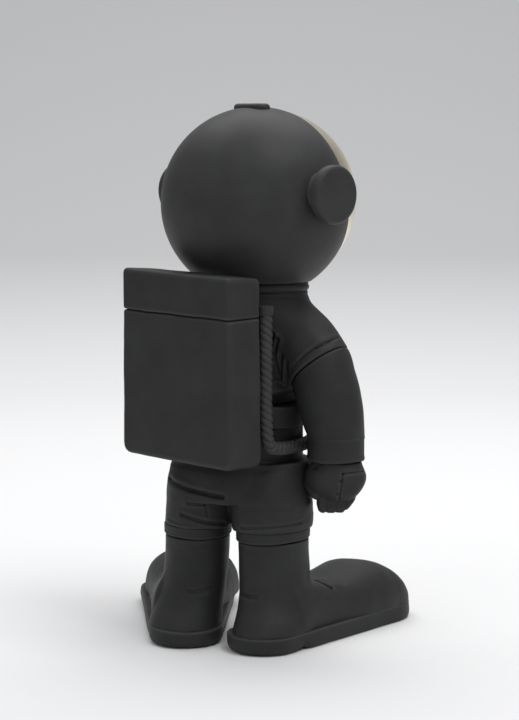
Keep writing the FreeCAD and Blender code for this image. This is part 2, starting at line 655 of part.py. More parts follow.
def build_legs():
    waist_part = from_shape("waist_part", stack(waist_sections()))
    hips = from_shape("hips", stack(hip_sections()))
    legs = []
    tools = []
    for side, sign in SIDES:
        frame = boot_frame(side, sign)
        local = LOWER.inverse() * frame
        leg = from_shape("leg_" + side, stack(leg_sections(sign)))
        leg.Placement = local
        legs.append(leg)
        peg = Vector(0, 0, size("boot_peg_z"))
        for tool in seat("boot_seat_" + side, "boot_peg_radius", "boot_peg_long", peg, Rotation()):
            tool.Placement = local * tool.Placement
            tools.append(tool)
        build_hem(side, frame, peg)
        build_boot(side, sign, frame, peg)
    waist = waist_peg_base()
    tools.append(bound("Cylinder", "trouser_bore", waist, Radius="sizes.waist_peg_radius + sizes.play",
                       Height="sizes.waist_peg_long"))
    inner = hip_sections()[1:4]
    tools.append(from_shape("hip_cavity", stack(inner, size("wall"))))
    piece("trousers", cut("trousers", fuse("trousers", waist_part, hips, *legs), *tools), LOWER)
    mushroom("waist_peg", "waist_peg_radius", "waist_peg_long", LOWER * Placement(waist, Rotation()))
    belt = bound("Ellipse", "belt_line", Vector(0, 0, size("belt_low_z")),
                 MajorRadius="sizes.waist_half", MinorRadius="sizes.waist_depth")
    band = extruded("belt_band", belt, "sizes.belt_top_z - sizes.belt_low_z")
    bore = bound("Cylinder", "belt_bore", waist, Radius="sizes.waist_peg_radius + sizes.play",
                 Height="sizes.waist_peg_long")
    piece("belt", cut("belt", band, bore), LOWER)


def extruded(name, wire, length):
    solid = doc.addObject("Part::Extrusion", name)
    solid.Base = wire
    solid.DirMode = "Custom"
    solid.Dir = Vector(0, 0, 1)
    solid.Solid = True
    solid.setExpression("LengthFwd", length)
    return solid


def build_hem(side, frame, peg):
    turn = Rotation(Vector(0, 0, 1), 90)
    line = bound("Ellipse", "hem_line_" + side, Vector(0, 0, size("hem_low_z")), turn,
                 MajorRadius="sizes.hem_depth", MinorRadius="sizes.hem_half")
    band = extruded("hem_blank_" + side, line, "sizes.hem_top_z - sizes.hem_low_z")
    bore = bound("Cylinder", "hem_bore_" + side, peg, Radius="sizes.boot_peg_radius + sizes.play",
                 Height="sizes.boot_peg_long")
    piece("hem_band_" + side, cut("hem_band_" + side, band, bore), frame)


# ---------------------------------------------------------------- boots

def shaft_sections(x):
    """Level sections of a boot's shaft, flaring back and outward to the heel."""
    wide, deep = size("shaft_half"), size("shaft_depth")
    top, low = size("boot_top_z"), size("sole_thick")
    straight = [(top, wide, deep, 0.0, 0.0), (top - SHAFT_STRAIGHT, wide, deep, 0.4, 0.1 * x)]
    return straight + [(low + rise, wide + wider, deep + deeper, y, share * x)
                       for rise, wider, deeper, y, share in HEEL_SECTIONS]


def foot_sections():
    """Upright sections across the foot: (distance ahead, half width, height)."""
    toe = size("toe_ahead")
    instep = [(share * toe, wide, high) for share, wide, high in INSTEP_SECTIONS]
    return instep + [(toe + past, wide, high) for past, wide, high in TOE_SECTIONS]


def arch_wire(x, ahead, half_width, height):
    """Half an ellipse standing on the sole, closed by a straight line."""
    low = size("sole_thick")
    middle = Vector(x, -ahead, low)
    across, up = Vector(half_width, 0, 0), Vector(0, 0, height)
    ends = (middle + across, middle - across)
    if half_width >= height:
        curve = Part.Ellipse(middle + across, middle + up, middle)
        arc = Part.Arc(curve, 0, math.pi)
    else:
        curve = Part.Ellipse(middle + up, middle - across, middle)
        arc = Part.Arc(curve, -math.pi / 2, math.pi / 2)
    edge = arc.toShape()
    line = Part.LineSegment(edge.Vertexes[-1].Point, edge.Vertexes[0].Point).toShape()
    return Part.Wire([edge, line])


def sole_outline(x):
    """The heel's circle and the toe's circle joined by their common tangents."""
    heel = Vector(x, size("heel_back"), 0)
    toe = Vector(x, -size("toe_ahead"), 0)
    small, large = size("heel_radius"), size("toe_radius")
    slope = math.asin((large - small) / (heel.y - toe.y))
    side = Vector(math.cos(slope), math.sin(slope), 0)
    other = Vector(-side.x, side.y, 0)
    back, tip = Vector(0, small, 0), Vector(0, -large, 0)
    edges = [Part.Arc(heel + side * small, heel + back, heel + other * small).toShape(),
             Part.LineSegment(heel + other * small, toe + other * large).toShape(),
             Part.Arc(toe + other * large, toe + tip, toe + side * large).toShape(),
             Part.LineSegment(toe + side * large, heel + side * small).toShape()]
    return Part.Face(Part.Wire(edges))


def build_boot(side, sign, frame, peg):
    x = sign * size("foot_out")
    shaft = from_shape("boot_shaft_" + side, stack(shaft_sections(x)))
    foot_wires = [arch_wire(x, *section) for section in foot_sections()]
    foot = from_shape("boot_foot_" + side, Part.makeLoft(foot_wires, True, False))
    bore = bound("Cylinder", "boot_bore_" + side, peg, Radius="sizes.boot_peg_radius + sizes.play",
                 Height="sizes.boot_peg_long")
    piece("boot_" + side, cut("boot_" + side, fuse("boot_" + side, shaft, foot), bore), frame)
    slab = sole_outline(x).extrude(Vector(0, 0, size("sole_thick")))
    low = [edge for edge in slab.Edges if edge.BoundBox.ZMax < TOUCH]
    sole = from_shape("sole_blank_" + side, slab.makeFillet(size("sole_edge"), low))
    piece("sole_" + side, sole, frame)
    mushroom("boot_peg_" + side, "boot_peg_radius", "boot_peg_long", frame * Placement(peg, Rotation()))


# ---------------------------------------------------------------- build, test and write

def all_is_sound():
    doc.recompute()
    for item in doc.Objects:
        if "Invalid" in item.State or "Error" in item.State:
            raise RuntimeError("%s did not build: %s" % (item.Name, item.State))
    for item in pieces:
        shape = item.Shape
        if shape.isNull() or not shape.isValid():
            raise RuntimeError(item.Label + " has no valid shape")


def write_pieces():
    os.makedirs("parts", exist_ok=True)
    for item in pieces:
        item.Shape.exportStep("parts/%s.step" % item.Label)


build_helmet()
torso_outer = build_torso()
build_backpack()
build_chest(torso_outer)
for side, sign in SIDES:
    build_hose(side, sign)
    build_arm(side, sign)
build_legs()
all_is_sound()
write_pieces()
box = Part.makeCompound([item.Shape for item in pieces]).optimalBoundingBox()
print(len(pieces), "pieces", box)
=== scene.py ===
"""A matt black toy astronaut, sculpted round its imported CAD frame.

Lengths are millimetres until a mesh is made.
"""
import json
import math

import bpy
import numpy as np
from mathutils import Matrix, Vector


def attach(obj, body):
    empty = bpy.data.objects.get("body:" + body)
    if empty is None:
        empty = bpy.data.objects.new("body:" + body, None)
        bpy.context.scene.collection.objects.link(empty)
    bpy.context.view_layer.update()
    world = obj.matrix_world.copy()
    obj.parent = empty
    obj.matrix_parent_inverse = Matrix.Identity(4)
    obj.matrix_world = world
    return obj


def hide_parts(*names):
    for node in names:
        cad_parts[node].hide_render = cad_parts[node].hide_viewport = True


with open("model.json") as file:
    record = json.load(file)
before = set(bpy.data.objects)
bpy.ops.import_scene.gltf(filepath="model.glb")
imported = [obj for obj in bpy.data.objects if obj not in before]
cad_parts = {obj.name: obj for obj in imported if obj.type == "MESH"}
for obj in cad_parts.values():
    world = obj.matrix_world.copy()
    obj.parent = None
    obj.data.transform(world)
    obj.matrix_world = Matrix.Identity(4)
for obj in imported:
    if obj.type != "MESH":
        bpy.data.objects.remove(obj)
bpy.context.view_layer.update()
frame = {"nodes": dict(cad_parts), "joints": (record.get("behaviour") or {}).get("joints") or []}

MM = 0.001
SIDES = (("left", 1), ("right", -1))
FINE = 1.0


# ------------ places taken from the frame

JOINT = {j["name"]: np.array(j["pos_m"]) / MM for j in frame["joints"]}


class Place:
    """A frame of reference that stands on the floor: an origin and a turn about +Z."""

    def __init__(self, x, y, turn):
        self.origin = np.array([x, y, 0.0])
        c, s = math.cos(turn), math.sin(turn)
        self.turn = np.array([[c, -s, 0.0], [s, c, 0.0], [0.0, 0.0, 1.0]])

    def to_row(self, points):
        return np.asarray(points) @ self.turn.T + self.origin

    def from_row(self, points):
        return (np.asarray(points) - self.origin) @ self.turn

    def box(self, node):
        """A CAD node's lowest and highest corners in this frame."""
        points = np.array([v.co for v in frame["nodes"][node].data.vertices]) / MM
        local = self.from_row(points)
        return local.min(0), local.max(0)


WAIST = JOINT["waist_turn"]
ACROSS = JOINT["arm_left_turn"] - JOINT["arm_right_turn"]
UPPER = Place(WAIST[0], WAIST[1], math.atan2(ACROSS[1], ACROSS[0]))
LOWER = Place(WAIST[0], WAIST[1], 0.0)
TOE_OUT = {"left": 23.2, "right": 13.2}


def boot_place(side, sign):
    ankle = JOINT["foot_%s_turn" % side]
    return Place(ankle[0], ankle[1], math.radians(sign * TOE_OUT[side]))


# ------------ distance fields

def length(p):
    return np.sqrt((p * p).sum(-1))


def smin(a, b, k):
    """The union of two fields with a soft fillet of size k."""
    h = np.clip(0.5 + 0.5 * (b - a) / k, 0, 1)
    return b + (a - b) * h - k * h * (1 - h)


def smax(a, b, k):
    """What two fields share, with a rounded edge of size k."""
    return -smin(-a, -b, k)


def ellipsoid(p, centre, radii):
    q = (p - np.asarray(centre)) / np.asarray(radii)
    k = length(q)
    slope = length(q / np.asarray(radii))
    return k * (k - 1) / np.maximum(slope, 1e-6)


def box_field(p, low, high, radius):
    """A box with every edge rounded."""
    low, high = np.asarray(low), np.asarray(high)
    q = np.abs(p - (low + high) / 2) - (high - low) / 2 + radius
    return length(np.maximum(q, 0)) + np.minimum(q.max(-1), 0) - radius


def plane(p, point, normal):
    """Positive on the side that the normal points to."""
    normal = np.asarray(normal) / np.linalg.norm(normal)
    return (p - np.asarray(point)) @ normal


def smooth_table(knots, samples=240):
    """Catmull-Rom through rows of (station, values...), as a dense table."""
    knots = np.array(knots, float)
    ends = np.vstack([2 * knots[0] - knots[1], knots, 2 * knots[-1] - knots[-2]])
    rows = []
    per = samples // (len(knots) - 1)
    for n in range(len(knots) - 1):
        a, b, c, d = ends[n:n + 4]
        u = np.linspace(0, 1, per, endpoint=False)[:, None]
        rows.append(0.5 * (2 * b + (c - a) * u + (2 * a - 5 * b + 4 * c - d) * u ** 2
                           + (3 * b - a - 3 * c + d) * u ** 3))
    return np.vstack(rows + [knots[-1:]])


def column(p, knots):
    """An upright form with elliptical sections: rows of (z, half x, half y, centre x, centre y)."""
    table = smooth_table(sorted(knots))
    half_x, half_y, x, y = (np.interp(p[:, 2], table[:, 0], table[:, n]) for n in range(1, 5))
    q = np.stack([(p[:, 0] - x) / half_x, (p[:, 1] - y) / half_y], -1)
    k = length(q)
    slope = length(q / np.stack([half_x, half_y], -1))
    return k * (k - 1) / np.maximum(slope, 1e-6)


def between(p, d, low, high, edge):
    """Cuts an upright form level at two heights, with rounded edges."""
    return smax(smax(d, low - p[:, 2], edge), p[:, 2] - high, edge)


def path_field(p, knots):
    """A round tube along rows of (x, y, z, radius)."""
    table = smooth_table([(n,) + tuple(row) for n, row in enumerate(knots)], 12 * len(knots))[:, 1:]
    best = np.full(len(p), 1e9)
    for a, b in zip(table, table[1:]):
        run = b[:3] - a[:3]
        u = np.clip(((p - a[:3]) @ run) / (run @ run), 0, 1)
        d = length(p - a[:3] - u[:, None] * run) - (a[3] + (b[3] - a[3]) * u)
        best = np.minimum(best, d)
    return best


def line_distance(p, points):
    """How far each point is from a line through points, in as many dimensions as they have."""
    best = np.full(len(p), 1e9)
    points = np.asarray(points, float)
    for a, b in zip(points, points[1:]):
        run = b - a
        u = np.clip(((p - a) @ run) / (run @ run), 0, 1)
        best = np.minimum(best, length(p - a - u[:, None] * run))
    return best


def groove(distance, width, depth):
    """How much a crease of that width and depth takes off a surface."""
    return depth * np.exp(-(distance / width) ** 2)


def ripple(p, size, amount, seed):
    """The faint unevenness of a hand-sculpted master."""
    random = np.random.default_rng(seed)
    total = np.zeros(len(p))
    waves = 7
    for _ in range(waves):
        way = random.normal(size=3)
        way /= np.linalg.norm(way)
        scale = 2 * math.pi / (size * random.uniform(0.7, 1.4))
        total += np.sin((p @ way) * scale + random.uniform(0, 2 * math.pi))
    return amount * total / math.sqrt(waves)


# ------------ meshes

def sample(field, points):
    chunk = 400000
    parts = [field(points[n:n + chunk]) for n in range(0, len(points), chunk)]
    return np.concatenate(parts)


def net_faces(inside, index):
    """Quads between the cells on either side of every grid edge that crosses the surface."""
    quads = []
    for axis in range(3):
        u, v = (axis + 1) % 3, (axis + 2) % 3
        head = [slice(1, -1)] * 3
        tail = [slice(1, -1)] * 3
        head[axis], tail[axis] = slice(0, -1), slice(1, None)
        first, second = inside[tuple(head)], inside[tuple(tail)]
        cross = np.argwhere(first != second)
        flip = first[tuple(cross.T)]
        cell = cross.copy()
        cell[:, u] += 1
        cell[:, v] += 1
        corners = []
        for du, dv in ((-1, -1), (0, -1), (0, 0), (-1, 0)):
            c = cell.copy()
            c[:, u] += du
            c[:, v] += dv
            corners.append(index[tuple(c.T)])
        quad = np.stack(corners, -1)
        quad[~flip] = quad[~flip][:, ::-1]
        quads.append(quad)
    return np.vstack(quads)


def surface(field, low, high, step):
    """The zero surface of a field as points and quads, settled exactly onto the field."""
    step = step * FINE
    low, high = np.asarray(low, float), np.asarray(high, float)
    coarse, reach, rounds = 4, 1.9, 4
    counts = np.ceil((high - low) / step).astype(int) + 1
    blocks = -(-counts // coarse) + 1
    middle = low + (np.indices(blocks).reshape(3, -1).T + 0.5) * step * coarse
    rough = sample(field, middle).reshape(blocks)
    value = rough.repeat(coarse, 0).repeat(coarse, 1).repeat(coarse, 2)[:counts[0], :counts[1], :counts[2]]
    where = np.argwhere(np.abs(value) < reach * step * coarse)
    value[tuple(where.T)] = sample(field, low + where * step)
    inside = value < 0
    corner = sum(inside[i:counts[0] - 1 + i, j:counts[1] - 1 + j, k:counts[2] - 1 + k].astype(int)
                 for i in (0, 1) for j in (0, 1) for k in (0, 1))
    cells = (corner > 0) & (corner < 8)
    index = np.full(cells.shape, -1)
    index[cells] = np.arange(cells.sum())
    points = low + (np.argwhere(cells) + 0.5) * step
    quads = net_faces(inside, index)
    for _ in range(rounds):
        points = settle(field, relax(points, quads), step)
    return settle(field, points, step), quads


def relax(points, quads):
    """Moves each point halfway to the middle of its neighbours."""
    total = np.zeros_like(points)
    count = np.zeros(len(points))
    for n in range(4):
        a, b = quads[:, n], quads[:, (n + 1) % 4]
        for axis in range(3):
            total[:, axis] += np.bincount(a, points[b, axis], len(points))
            total[:, axis] += np.bincount(b, points[a, axis], len(points))
        count += np.bincount(a, minlength=len(points)) + np.bincount(b, minlength=len(points))
    return 0.5 * points + 0.5 * total / np.maximum(count, 1)[:, None]


def settle(field, points, step):
    """One Newton step onto the surface, no longer than a grid cell."""
    nudge = 0.04
    value = sample(field, points)
    slope = np.empty_like(points)
    for axis in range(3):
        shift = np.zeros(3)
        shift[axis] = nudge
        slope[:, axis] = (sample(field, points + shift) - sample(field, points - shift)) / (2 * nudge)
    move = value[:, None] * slope / np.maximum((slope ** 2).sum(-1), 0.05)[:, None]
    size = np.maximum(length(move), 1e-9)
    return points - move * np.minimum(1, step / size)[:, None]


def add_mesh(name, points, faces, place, body, material, replaced=()):
    """Puts a mesh into the row frame, on its body, in place of its CAD nodes."""
    mesh = bpy.data.meshes.new(name)
    mesh.from_pydata((place.to_row(points) * MM).tolist(), [], [tuple(f) for f in faces])
    mesh.validate()
    mesh.update()
    mesh.shade_smooth()
    piece = bpy.data.objects.new(name, mesh)
    bpy.context.scene.collection.objects.link(piece)
    mesh.materials.append(material)
    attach(piece, body)
    if replaced:
        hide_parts(*replaced)
    return piece


def sculpt(name, field, low, high, step, place, body, material, replaced=()):
    points, quads = surface(field, low, high, step)
    return add_mesh(name, points, quads.tolist(), place, body, material, replaced)


def lathe(profile, steps):
    """Points and quads of a profile of (radius, height) turned about Z; ends on the axis are closed."""
    profile = np.asarray(profile, float)
    angles = np.arange(steps) * 2 * math.pi / steps
    rings = [np.stack([r * np.cos(angles), r * np.sin(angles), np.full(steps, z)], -1) for r, z in profile]
    points = np.vstack(rings)
    faces = []
    for n in range(len(profile) - 1):
        for k in range(steps):
            a, b = n * steps + k, n * steps + (k + 1) % steps
            faces.append((a, b, b + steps, a + steps))
    faces.append(tuple(range(steps))[::-1])
    last = (len(profile) - 1) * steps
    faces.append(tuple(range(last, last + steps)))
    return points, faces


# ------------ materials

def nodes_of(name):
    material = bpy.data.materials.new(name)
    material.use_nodes = True
    tree = material.node_tree
    shader = tree.nodes["Principled BSDF"]
    return material, tree, shader


def noise(tree, coords, scale, detail, rough):
    node = tree.nodes.new("ShaderNodeTexNoise")
    node.inputs["Scale"].default_value = scale
    node.inputs["Detail"].default_value = detail
    node.inputs["Roughness"].default_value = rough
    tree.links.new(coords, node.inputs["Vector"])
    return node.outputs["Fac"]


def ramp(tree, value, low, high, at=(0.3, 0.7)):
    node = tree.nodes.new("ShaderNodeValToRGB")
    node.color_ramp.elements[0].position = at[0]
    node.color_ramp.elements[1].position = at[1]
    node.color_ramp.elements[0].color = low
    node.color_ramp.elements[1].color = high
    tree.links.new(value, node.inputs["Fac"])
    return node.outputs["Color"]


def grey(value, warm=0.0):
    return (value * (1 + warm), value, value * (1 - warm), 1)


def vinyl(name, tone, rough=0.56, edge_highlight_amount=0.35):
    """Matt black painted vinyl: mottled and finely pored, with a painted highlight that makes its colour
    paler along its edges.
    """
    material, tree, shader = nodes_of(name)
    coords = tree.nodes.new("ShaderNodeTexCoord").outputs["Object"]
    mottle = noise(tree, coords, 60.0, 6.0, 0.6)
    base = ramp(tree, mottle, grey(tone * 0.86), grey(tone * 1.14, -0.01))
    # Painted highlight: a paler colour is mixed in where the surface is convex, in place of the light that
    # catches the edges.
    geometry = tree.nodes.new("ShaderNodeNewGeometry")
    edge = ramp(tree, geometry.outputs["Pointiness"], grey(0.0), grey(edge_highlight_amount), (0.505, 0.56))
    edge_highlight_mix = tree.nodes.new("ShaderNodeMix")
    edge_highlight_mix.data_type = "RGBA"
    edge_highlight_mix.inputs[7].default_value = grey(tone * 2.6)
    tree.links.new(edge, edge_highlight_mix.inputs[0])
    tree.links.new(base, edge_highlight_mix.inputs[6])
    tree.links.new(edge_highlight_mix.outputs[2], shader.inputs["Base Color"])
    haze = noise(tree, coords, 25.0, 4.0, 0.55)
    spread = tree.nodes.new("ShaderNodeMapRange")
    spread.inputs["To Min"].default_value = rough - 0.06
    spread.inputs["To Max"].default_value = rough + 0.06
    tree.links.new(haze, spread.inputs["Value"])
    tree.links.new(spread.outputs["Result"], shader.inputs["Roughness"])
    pores = noise(tree, coords, 1500.0, 3.0, 0.6)
    bump = tree.nodes.new("ShaderNodeBump")
    bump.inputs["Strength"].default_value = 0.12
    bump.inputs["Distance"].default_value = 0.0002
    tree.links.new(pores, bump.inputs["Height"])
    tree.links.new(bump.outputs["Normal"], shader.inputs["Normal"])
    shader.inputs["Specular IOR Level"].default_value = 0.14
    return material


def mirror():
    """The pale gold mirror of the visor, with the faint orange-peel of a plated plastic."""
    material, tree, shader = nodes_of("visor_gold_mirror")
    coords = tree.nodes.new("ShaderNodeTexCoord").outputs["Object"]
    tint = ramp(tree, noise(tree, coords, 18.0, 3.0, 0.5), (0.78, 0.70, 0.50, 1), (0.84, 0.77, 0.59, 1))
    tree.links.new(tint, shader.inputs["Base Color"])
    shader.inputs["Metallic"].default_value = 1.0
    shader.inputs["Roughness"].default_value = 0.10
    bump = tree.nodes.new("ShaderNodeBump")
    bump.inputs["Strength"].default_value = 0.04
    bump.inputs["Distance"].default_value = 0.0003
    tree.links.new(noise(tree, coords, 260.0, 2.0, 0.5), bump.inputs["Height"])
    tree.links.new(bump.outputs["Normal"], shader.inputs["Normal"])
    return material


SUIT = vinyl("suit_matt_black", 0.0280)
HELMET = vinyl("helmet_matt_black", 0.0370, 0.50)
PACK = vinyl("pack_matt_black", 0.0295, 0.56, 0.55)
BOOT = vinyl("boot_matt_black", 0.0290, 0.52, 0.45)
GLOVE = vinyl("glove_matt_black", 0.0300, 0.52, 0.45)
TRIM = vinyl("trim_matt_black", 0.0280, 0.52, 0.5)
ROPE = vinyl("hose_matt_black", 0.0290, 0.52, 0.5)
PEG = vinyl("peg_black", 0.0120, 0.45, 0.1)
GOLD = mirror()


# ------------ head

def build_head():
    low, high = UPPER.box("helmet_shell")
    radius = (high[0] - low[0]) / 2
    centre = np.array([0.0, high[1] - radius, high[2] - radius])
    frame["nodes"]["helmet_shell"].data.materials[0] = HELMET
    frame["nodes"]["visor"].data.materials[0] = GOLD
    build_crown_pad(centre, radius)
    for side, sign in SIDES:
        build_ear(side, sign, centre, radius)


def build_crown_pad(centre, radius):
    low, high = UPPER.box("crown_pad")
    half = (high - low) / 2
    middle = (high + low) / 2
    lift, spread, edge, sunk = 0.2, 0.3, 2.6, 0.6

    def field(p):
        run = np.abs(p[:, 0] - middle[0])
        flat = np.stack([np.maximum(run - (half[0] - half[1]), 0), p[:, 1] - middle[1]], -1)
        plan = length(flat) - half[1] - spread
        d = smax(plan, p[:, 2] - high[2] - lift, edge)
        d = smax(d, radius - sunk - length(p - centre), 0.2)
        return d - ripple(p, 9, 0.05, 1)

    sculpt("crown_pad_soft", field, low - 1, high + 1, 0.3, UPPER, "head", HELMET, ["crown_pad"])


def turned_piece(name, profile, origin, axis, place, body, material, replaced, steps=128):
    """A lathed piece that stands along axis from origin."""
    points, faces = lathe(profile, steps)
    turn = np.array(Vector((0, 0, 1)).rotation_difference(Vector(axis)).to_matrix())
    points = points @ turn.T + np.asarray(origin)
    return add_mesh(name, points, faces, place, body, material, replaced)


def rounded_rim(radius, low, high, bevel, crown=0.0, steps=8):
    """The profile of a disc with both rims rounded and its face slightly crowned."""
    profile = [(radius - bevel * 2.2, low), (radius - bevel, low)]
    for n in range(1, steps + 1):
        a = math.radians(90 * n / steps)
        profile.append((radius - bevel + bevel * math.sin(a), low + bevel - bevel * math.cos(a)))
    for n in range(steps + 1):
        a = math.radians(90 * n / steps)
        profile.append((radius - bevel + bevel * math.cos(a), high - bevel + bevel * math.sin(a)))
    inner = radius - bevel
    for share in (0.85, 0.65, 0.45):
        profile.append((inner * share, high + crown * (1 - share ** 2)))
    return profile


def build_ear(side, sign, centre, radius):
    """A thick round disc on a narrower base, with a shadow gap between them."""
    low, high = UPPER.box("ear_disc_" + side)
    stand_off = 0.8 if sign > 0 else -1.5
    thicker, wider, narrower = 1.8, 0.2, 1.0
    rim, crown, neck, shadow_gap, lap, buried = 2.2, 0.3, 2.2, 0.7, 0.4, 12.0
    face = max(abs(low[0]), abs(high[0])) + stand_off
    thick = high[0] - low[0] + thicker
    disc = (high[2] - low[2]) / 2 + wider
    origin = (0.0, centre[1], (high[2] + low[2]) / 2)
    outward = (sign, 0, 0)
    turned_piece("ear_disc_%s_soft" % side, rounded_rim(disc, face - thick, face - 0.1, rim, crown),
                 origin, outward, UPPER, "head", HELMET, ["ear_disc_" + side])
    base_low, base_high = UPPER.box("ear_base_" + side)
    base = (base_high[2] - base_low[2]) / 2 - narrower
    top = face - thick - shadow_gap
    root = radius - buried
    inside = top + shadow_gap + lap
    profile = [(base * 0.5, root), (base, root), (base, top - 0.6), (base - 0.2, top - 0.2),
               (base - 0.7, top),
               (base - neck, top), (base - neck, inside), (base * 0.5, inside)]
    turned_piece("ear_base_%s_soft" % side, profile, origin, outward, UPPER, "head", HELMET,
                 ["ear_base_" + side])


# ------------ torso

def arm_joint(sign):
    return "arm_%s_turn" % ("left" if sign > 0 else "right")


def arm_way(sign):
    """The way the upper arm leaves the shoulder, from the shoulder joint's own axis."""
    axis = next(j["axis"] for j in frame["joints"] if j["name"] == arm_joint(sign))
    local = UPPER.from_row(np.array(axis) + UPPER.origin)
    return local if local[2] < 0 else -local


def shoulder(sign):
    return UPPER.from_row(JOINT[arm_joint(sign)])


# The shoulder's radius, how far the sleeve seam lies down the arm, and the radii of the neck and its plug.
CAP = 17.3
SEAM_DROP = 1.4
NECK = 26.4
NECK_PLUG = 22.6

# Share of the jacket's height, half width, half depth, and share of the way back to the neck.
TRUNK_SECTIONS = ((0.2, 29.2, 28.0, 0.1), (0.4, 28.4, 28.0, 0.3), (0.6, 31.0, 27.5, 0.5),
                  (0.8, 31.6, 26.5, 0.8), (0.92, 28.6, 26.4, 1.0))


def build_torso():
    low, high = UPPER.box("torso_shell")
    floor = low[2]
    pack_front = UPPER.box("backpack_shell")[0][1]
    collar_low, collar_high = UPPER.box("collar_ring")
    neck_y = (collar_low[1] + collar_high[1]) / 2
    neck_top = collar_low[2]
    rise = neck_top - floor
    trunk = [(floor - 3, 32.6, 28.4, 0, 0), (floor + 1, 32.2, 28.2, 0, 0),
             (neck_top + 1, NECK, NECK, 0, neck_y)]
    trunk += [(floor + share * rise, half_x, half_y, 0, back * neck_y)
              for share, half_x, half_y, back in TRUNK_SECTIONS]
    lip_radius, lip_bead, lip_drop, fillet, hem_x, no_cut = 26.3, 0.85, 1.0, 9.0, 24, -60
    ways = {sign: arm_way(sign) for _, sign in SIDES}
    seams = {sign: shoulder(sign) + SEAM_DROP * ways[sign] for _, sign in SIDES}

    def field(p):
        d = between(p, column(p, trunk), floor, neck_top - 0.1, 0.8)
        around = length((p - [0, neck_y, 0])[:, :2])
        lip = np.sqrt((around - lip_radius) ** 2 + (p[:, 2] - neck_top + lip_drop) ** 2) - lip_bead
        d = smin(d + groove(p[:, 2] - neck_top + 2.1, 0.35, 0.4), lip, 0.3)
        for sign, seam in seams.items():
            way = ways[sign]
            path = [(sign * 8.0, neck_y, seam[2] + 17.4, CAP + 0.6),
                    (sign * 22.0, neck_y - 0.5, seam[2] + 16.2, CAP + 0.9),
                    (sign * 32.0, neck_y - 2.2, seam[2] + 11.6, CAP + 0.5),
                    tuple(seam) + (CAP - 0.1,), tuple(seam + 8 * way) + (CAP - 0.6,)]
            past = plane(p, seam, way)
            tube = smax(path_field(p, path), past, 1.3)
            d = smin(d, tube, fillet)
            d = smax(d, past + np.where(sign * p[:, 0] > hem_x, 0, no_cut), 1.1)
            d += shoulder_folds(p, sign, seam, way)
        d = smin(d, between(p, around - NECK_PLUG, neck_top - 4, high[2] - 0.2, 0.8), 0.8)
        d = smax(d, p[:, 1] - pack_front, 0.8)
        return d + ripple(p, 17, 0.10, 3)

    sculpt("jacket", field, low - 2, high + 2, 0.8, UPPER, "torso", SUIT, ["torso_shell"])


# The points of the creases at the armpit, glove, seat, leg and boot were measured, not chosen: places in the
# photo were cast onto the CAD through a fitted camera by another script, then rounded or nudged by hand.

# Folds behind the armpit: places across and up, width and depth.
ARMPIT_FOLDS = (([(30, 162), (27.5, 154), (26, 146)], 1.3, 2.4),
                ([(32, 160), (29.5, 152), (28.6, 145), (27.5, 139)], 1.1, 2.2),
                ([(33.5, 152), (31, 145), (28.5, 136)], 1.1, 1.8),
                ([(36, 148), (33.5, 141), (30, 134.5)], 1.3, 1.3))


def shoulder_folds(p, sign, seam, way):
    """The band crease over the shoulder and the folds that gather behind the armpit."""
    away = p - seam
    aim = away / np.maximum(length(away), 1e-6)[:, None]
    behind = np.clip((aim @ np.array([sign * 0.70, 0.60, 0.38])) * 2.0 - 0.7, 0, 1)
    past = plane(p, seam, way)
    waver = 0.25 * np.sin(p[:, 1] * 0.35 + 1.0)
    band = past + 4.7 - 0.05 * (p[:, 1] + 4) + waver
    total = groove(band, 0.6, 1.3) * behind - groove(band + 1.8, 1.3, 0.4) * behind
    total -= groove(past + 1.2, 1.4, 0.22) * behind
    rear = np.clip((p[:, 1] + 8) / 4, 0, 1)
    for points, width, depth in ARMPIT_FOLDS:
        far = line_distance(p[:, [0, 2]], [(sign * x, z) for x, z in points])
        total += (groove(far, width, depth * 0.7) - groove(far - 1.9, 1.0, depth * 0.2)) * rear
    return total


def build_collar():
    low, high = UPPER.box("collar_ring")
    middle = (low + high) / 2
    bead = (high[2] - low[2]) / 2
    ring = (high[0] - low[0]) / 2 - bead

    def field(p):
        q = p - middle
        angle = np.arctan2(q[:, 1], q[:, 0])
        across = length(q[:, :2]) - ring - 0.2 * np.sin(2 * angle + 2.0)
        up = q[:, 2] - 0.12 * np.sin(3 * angle + 0.6)
        d = np.sqrt(across ** 2 + up ** 2) - bead - 0.3
        unrolled = np.stack([angle, up * 0.35], -1)
        pinch = groove(line_distance(unrolled, [(-2.9, 0.5), (-2.2, 0.1), (-1.6, 0.0)]), 0.16, 0.45)
        return d + pinch + ripple(p, 13, 0.05, 5)

    sculpt("collar_soft", field, low - 1, high + 1, 0.5, UPPER, "torso", TRIM, ["collar_ring"])


def build_belt():
    low, high = LOWER.box("belt")
    wide, deep = (high - low)[:2] / 2 + [2.2, 1.6]

    def field(p):
        d = column(p, [(low[2] - 1, wide, deep, 0, 0), (high[2] + 1, wide, deep, 0, 0)])
        d = between(p, d, low[2], high[2], 1.0)
        return d + ripple(p, 14, 0.08, 7)

    sculpt("belt_soft", field, low - 4, high + 4, 0.8, LOWER, "pelvis", SUIT, ["belt"])


# ------------ backpack

# Rise per millimetre across, of the lid's seam and of the whole pack.
SEAM_TILT = 0.015
PACK_TILT = 0.020


def rounded_rect(a, b, half_a, half_b, radius):
    """A rectangle with round corners, in two dimensions."""
    q = np.stack([np.abs(a) - half_a + radius, np.abs(b) - half_b + radius], -1)
    return length(np.maximum(q, 0)) + np.minimum(q.max(-1), 0) - radius


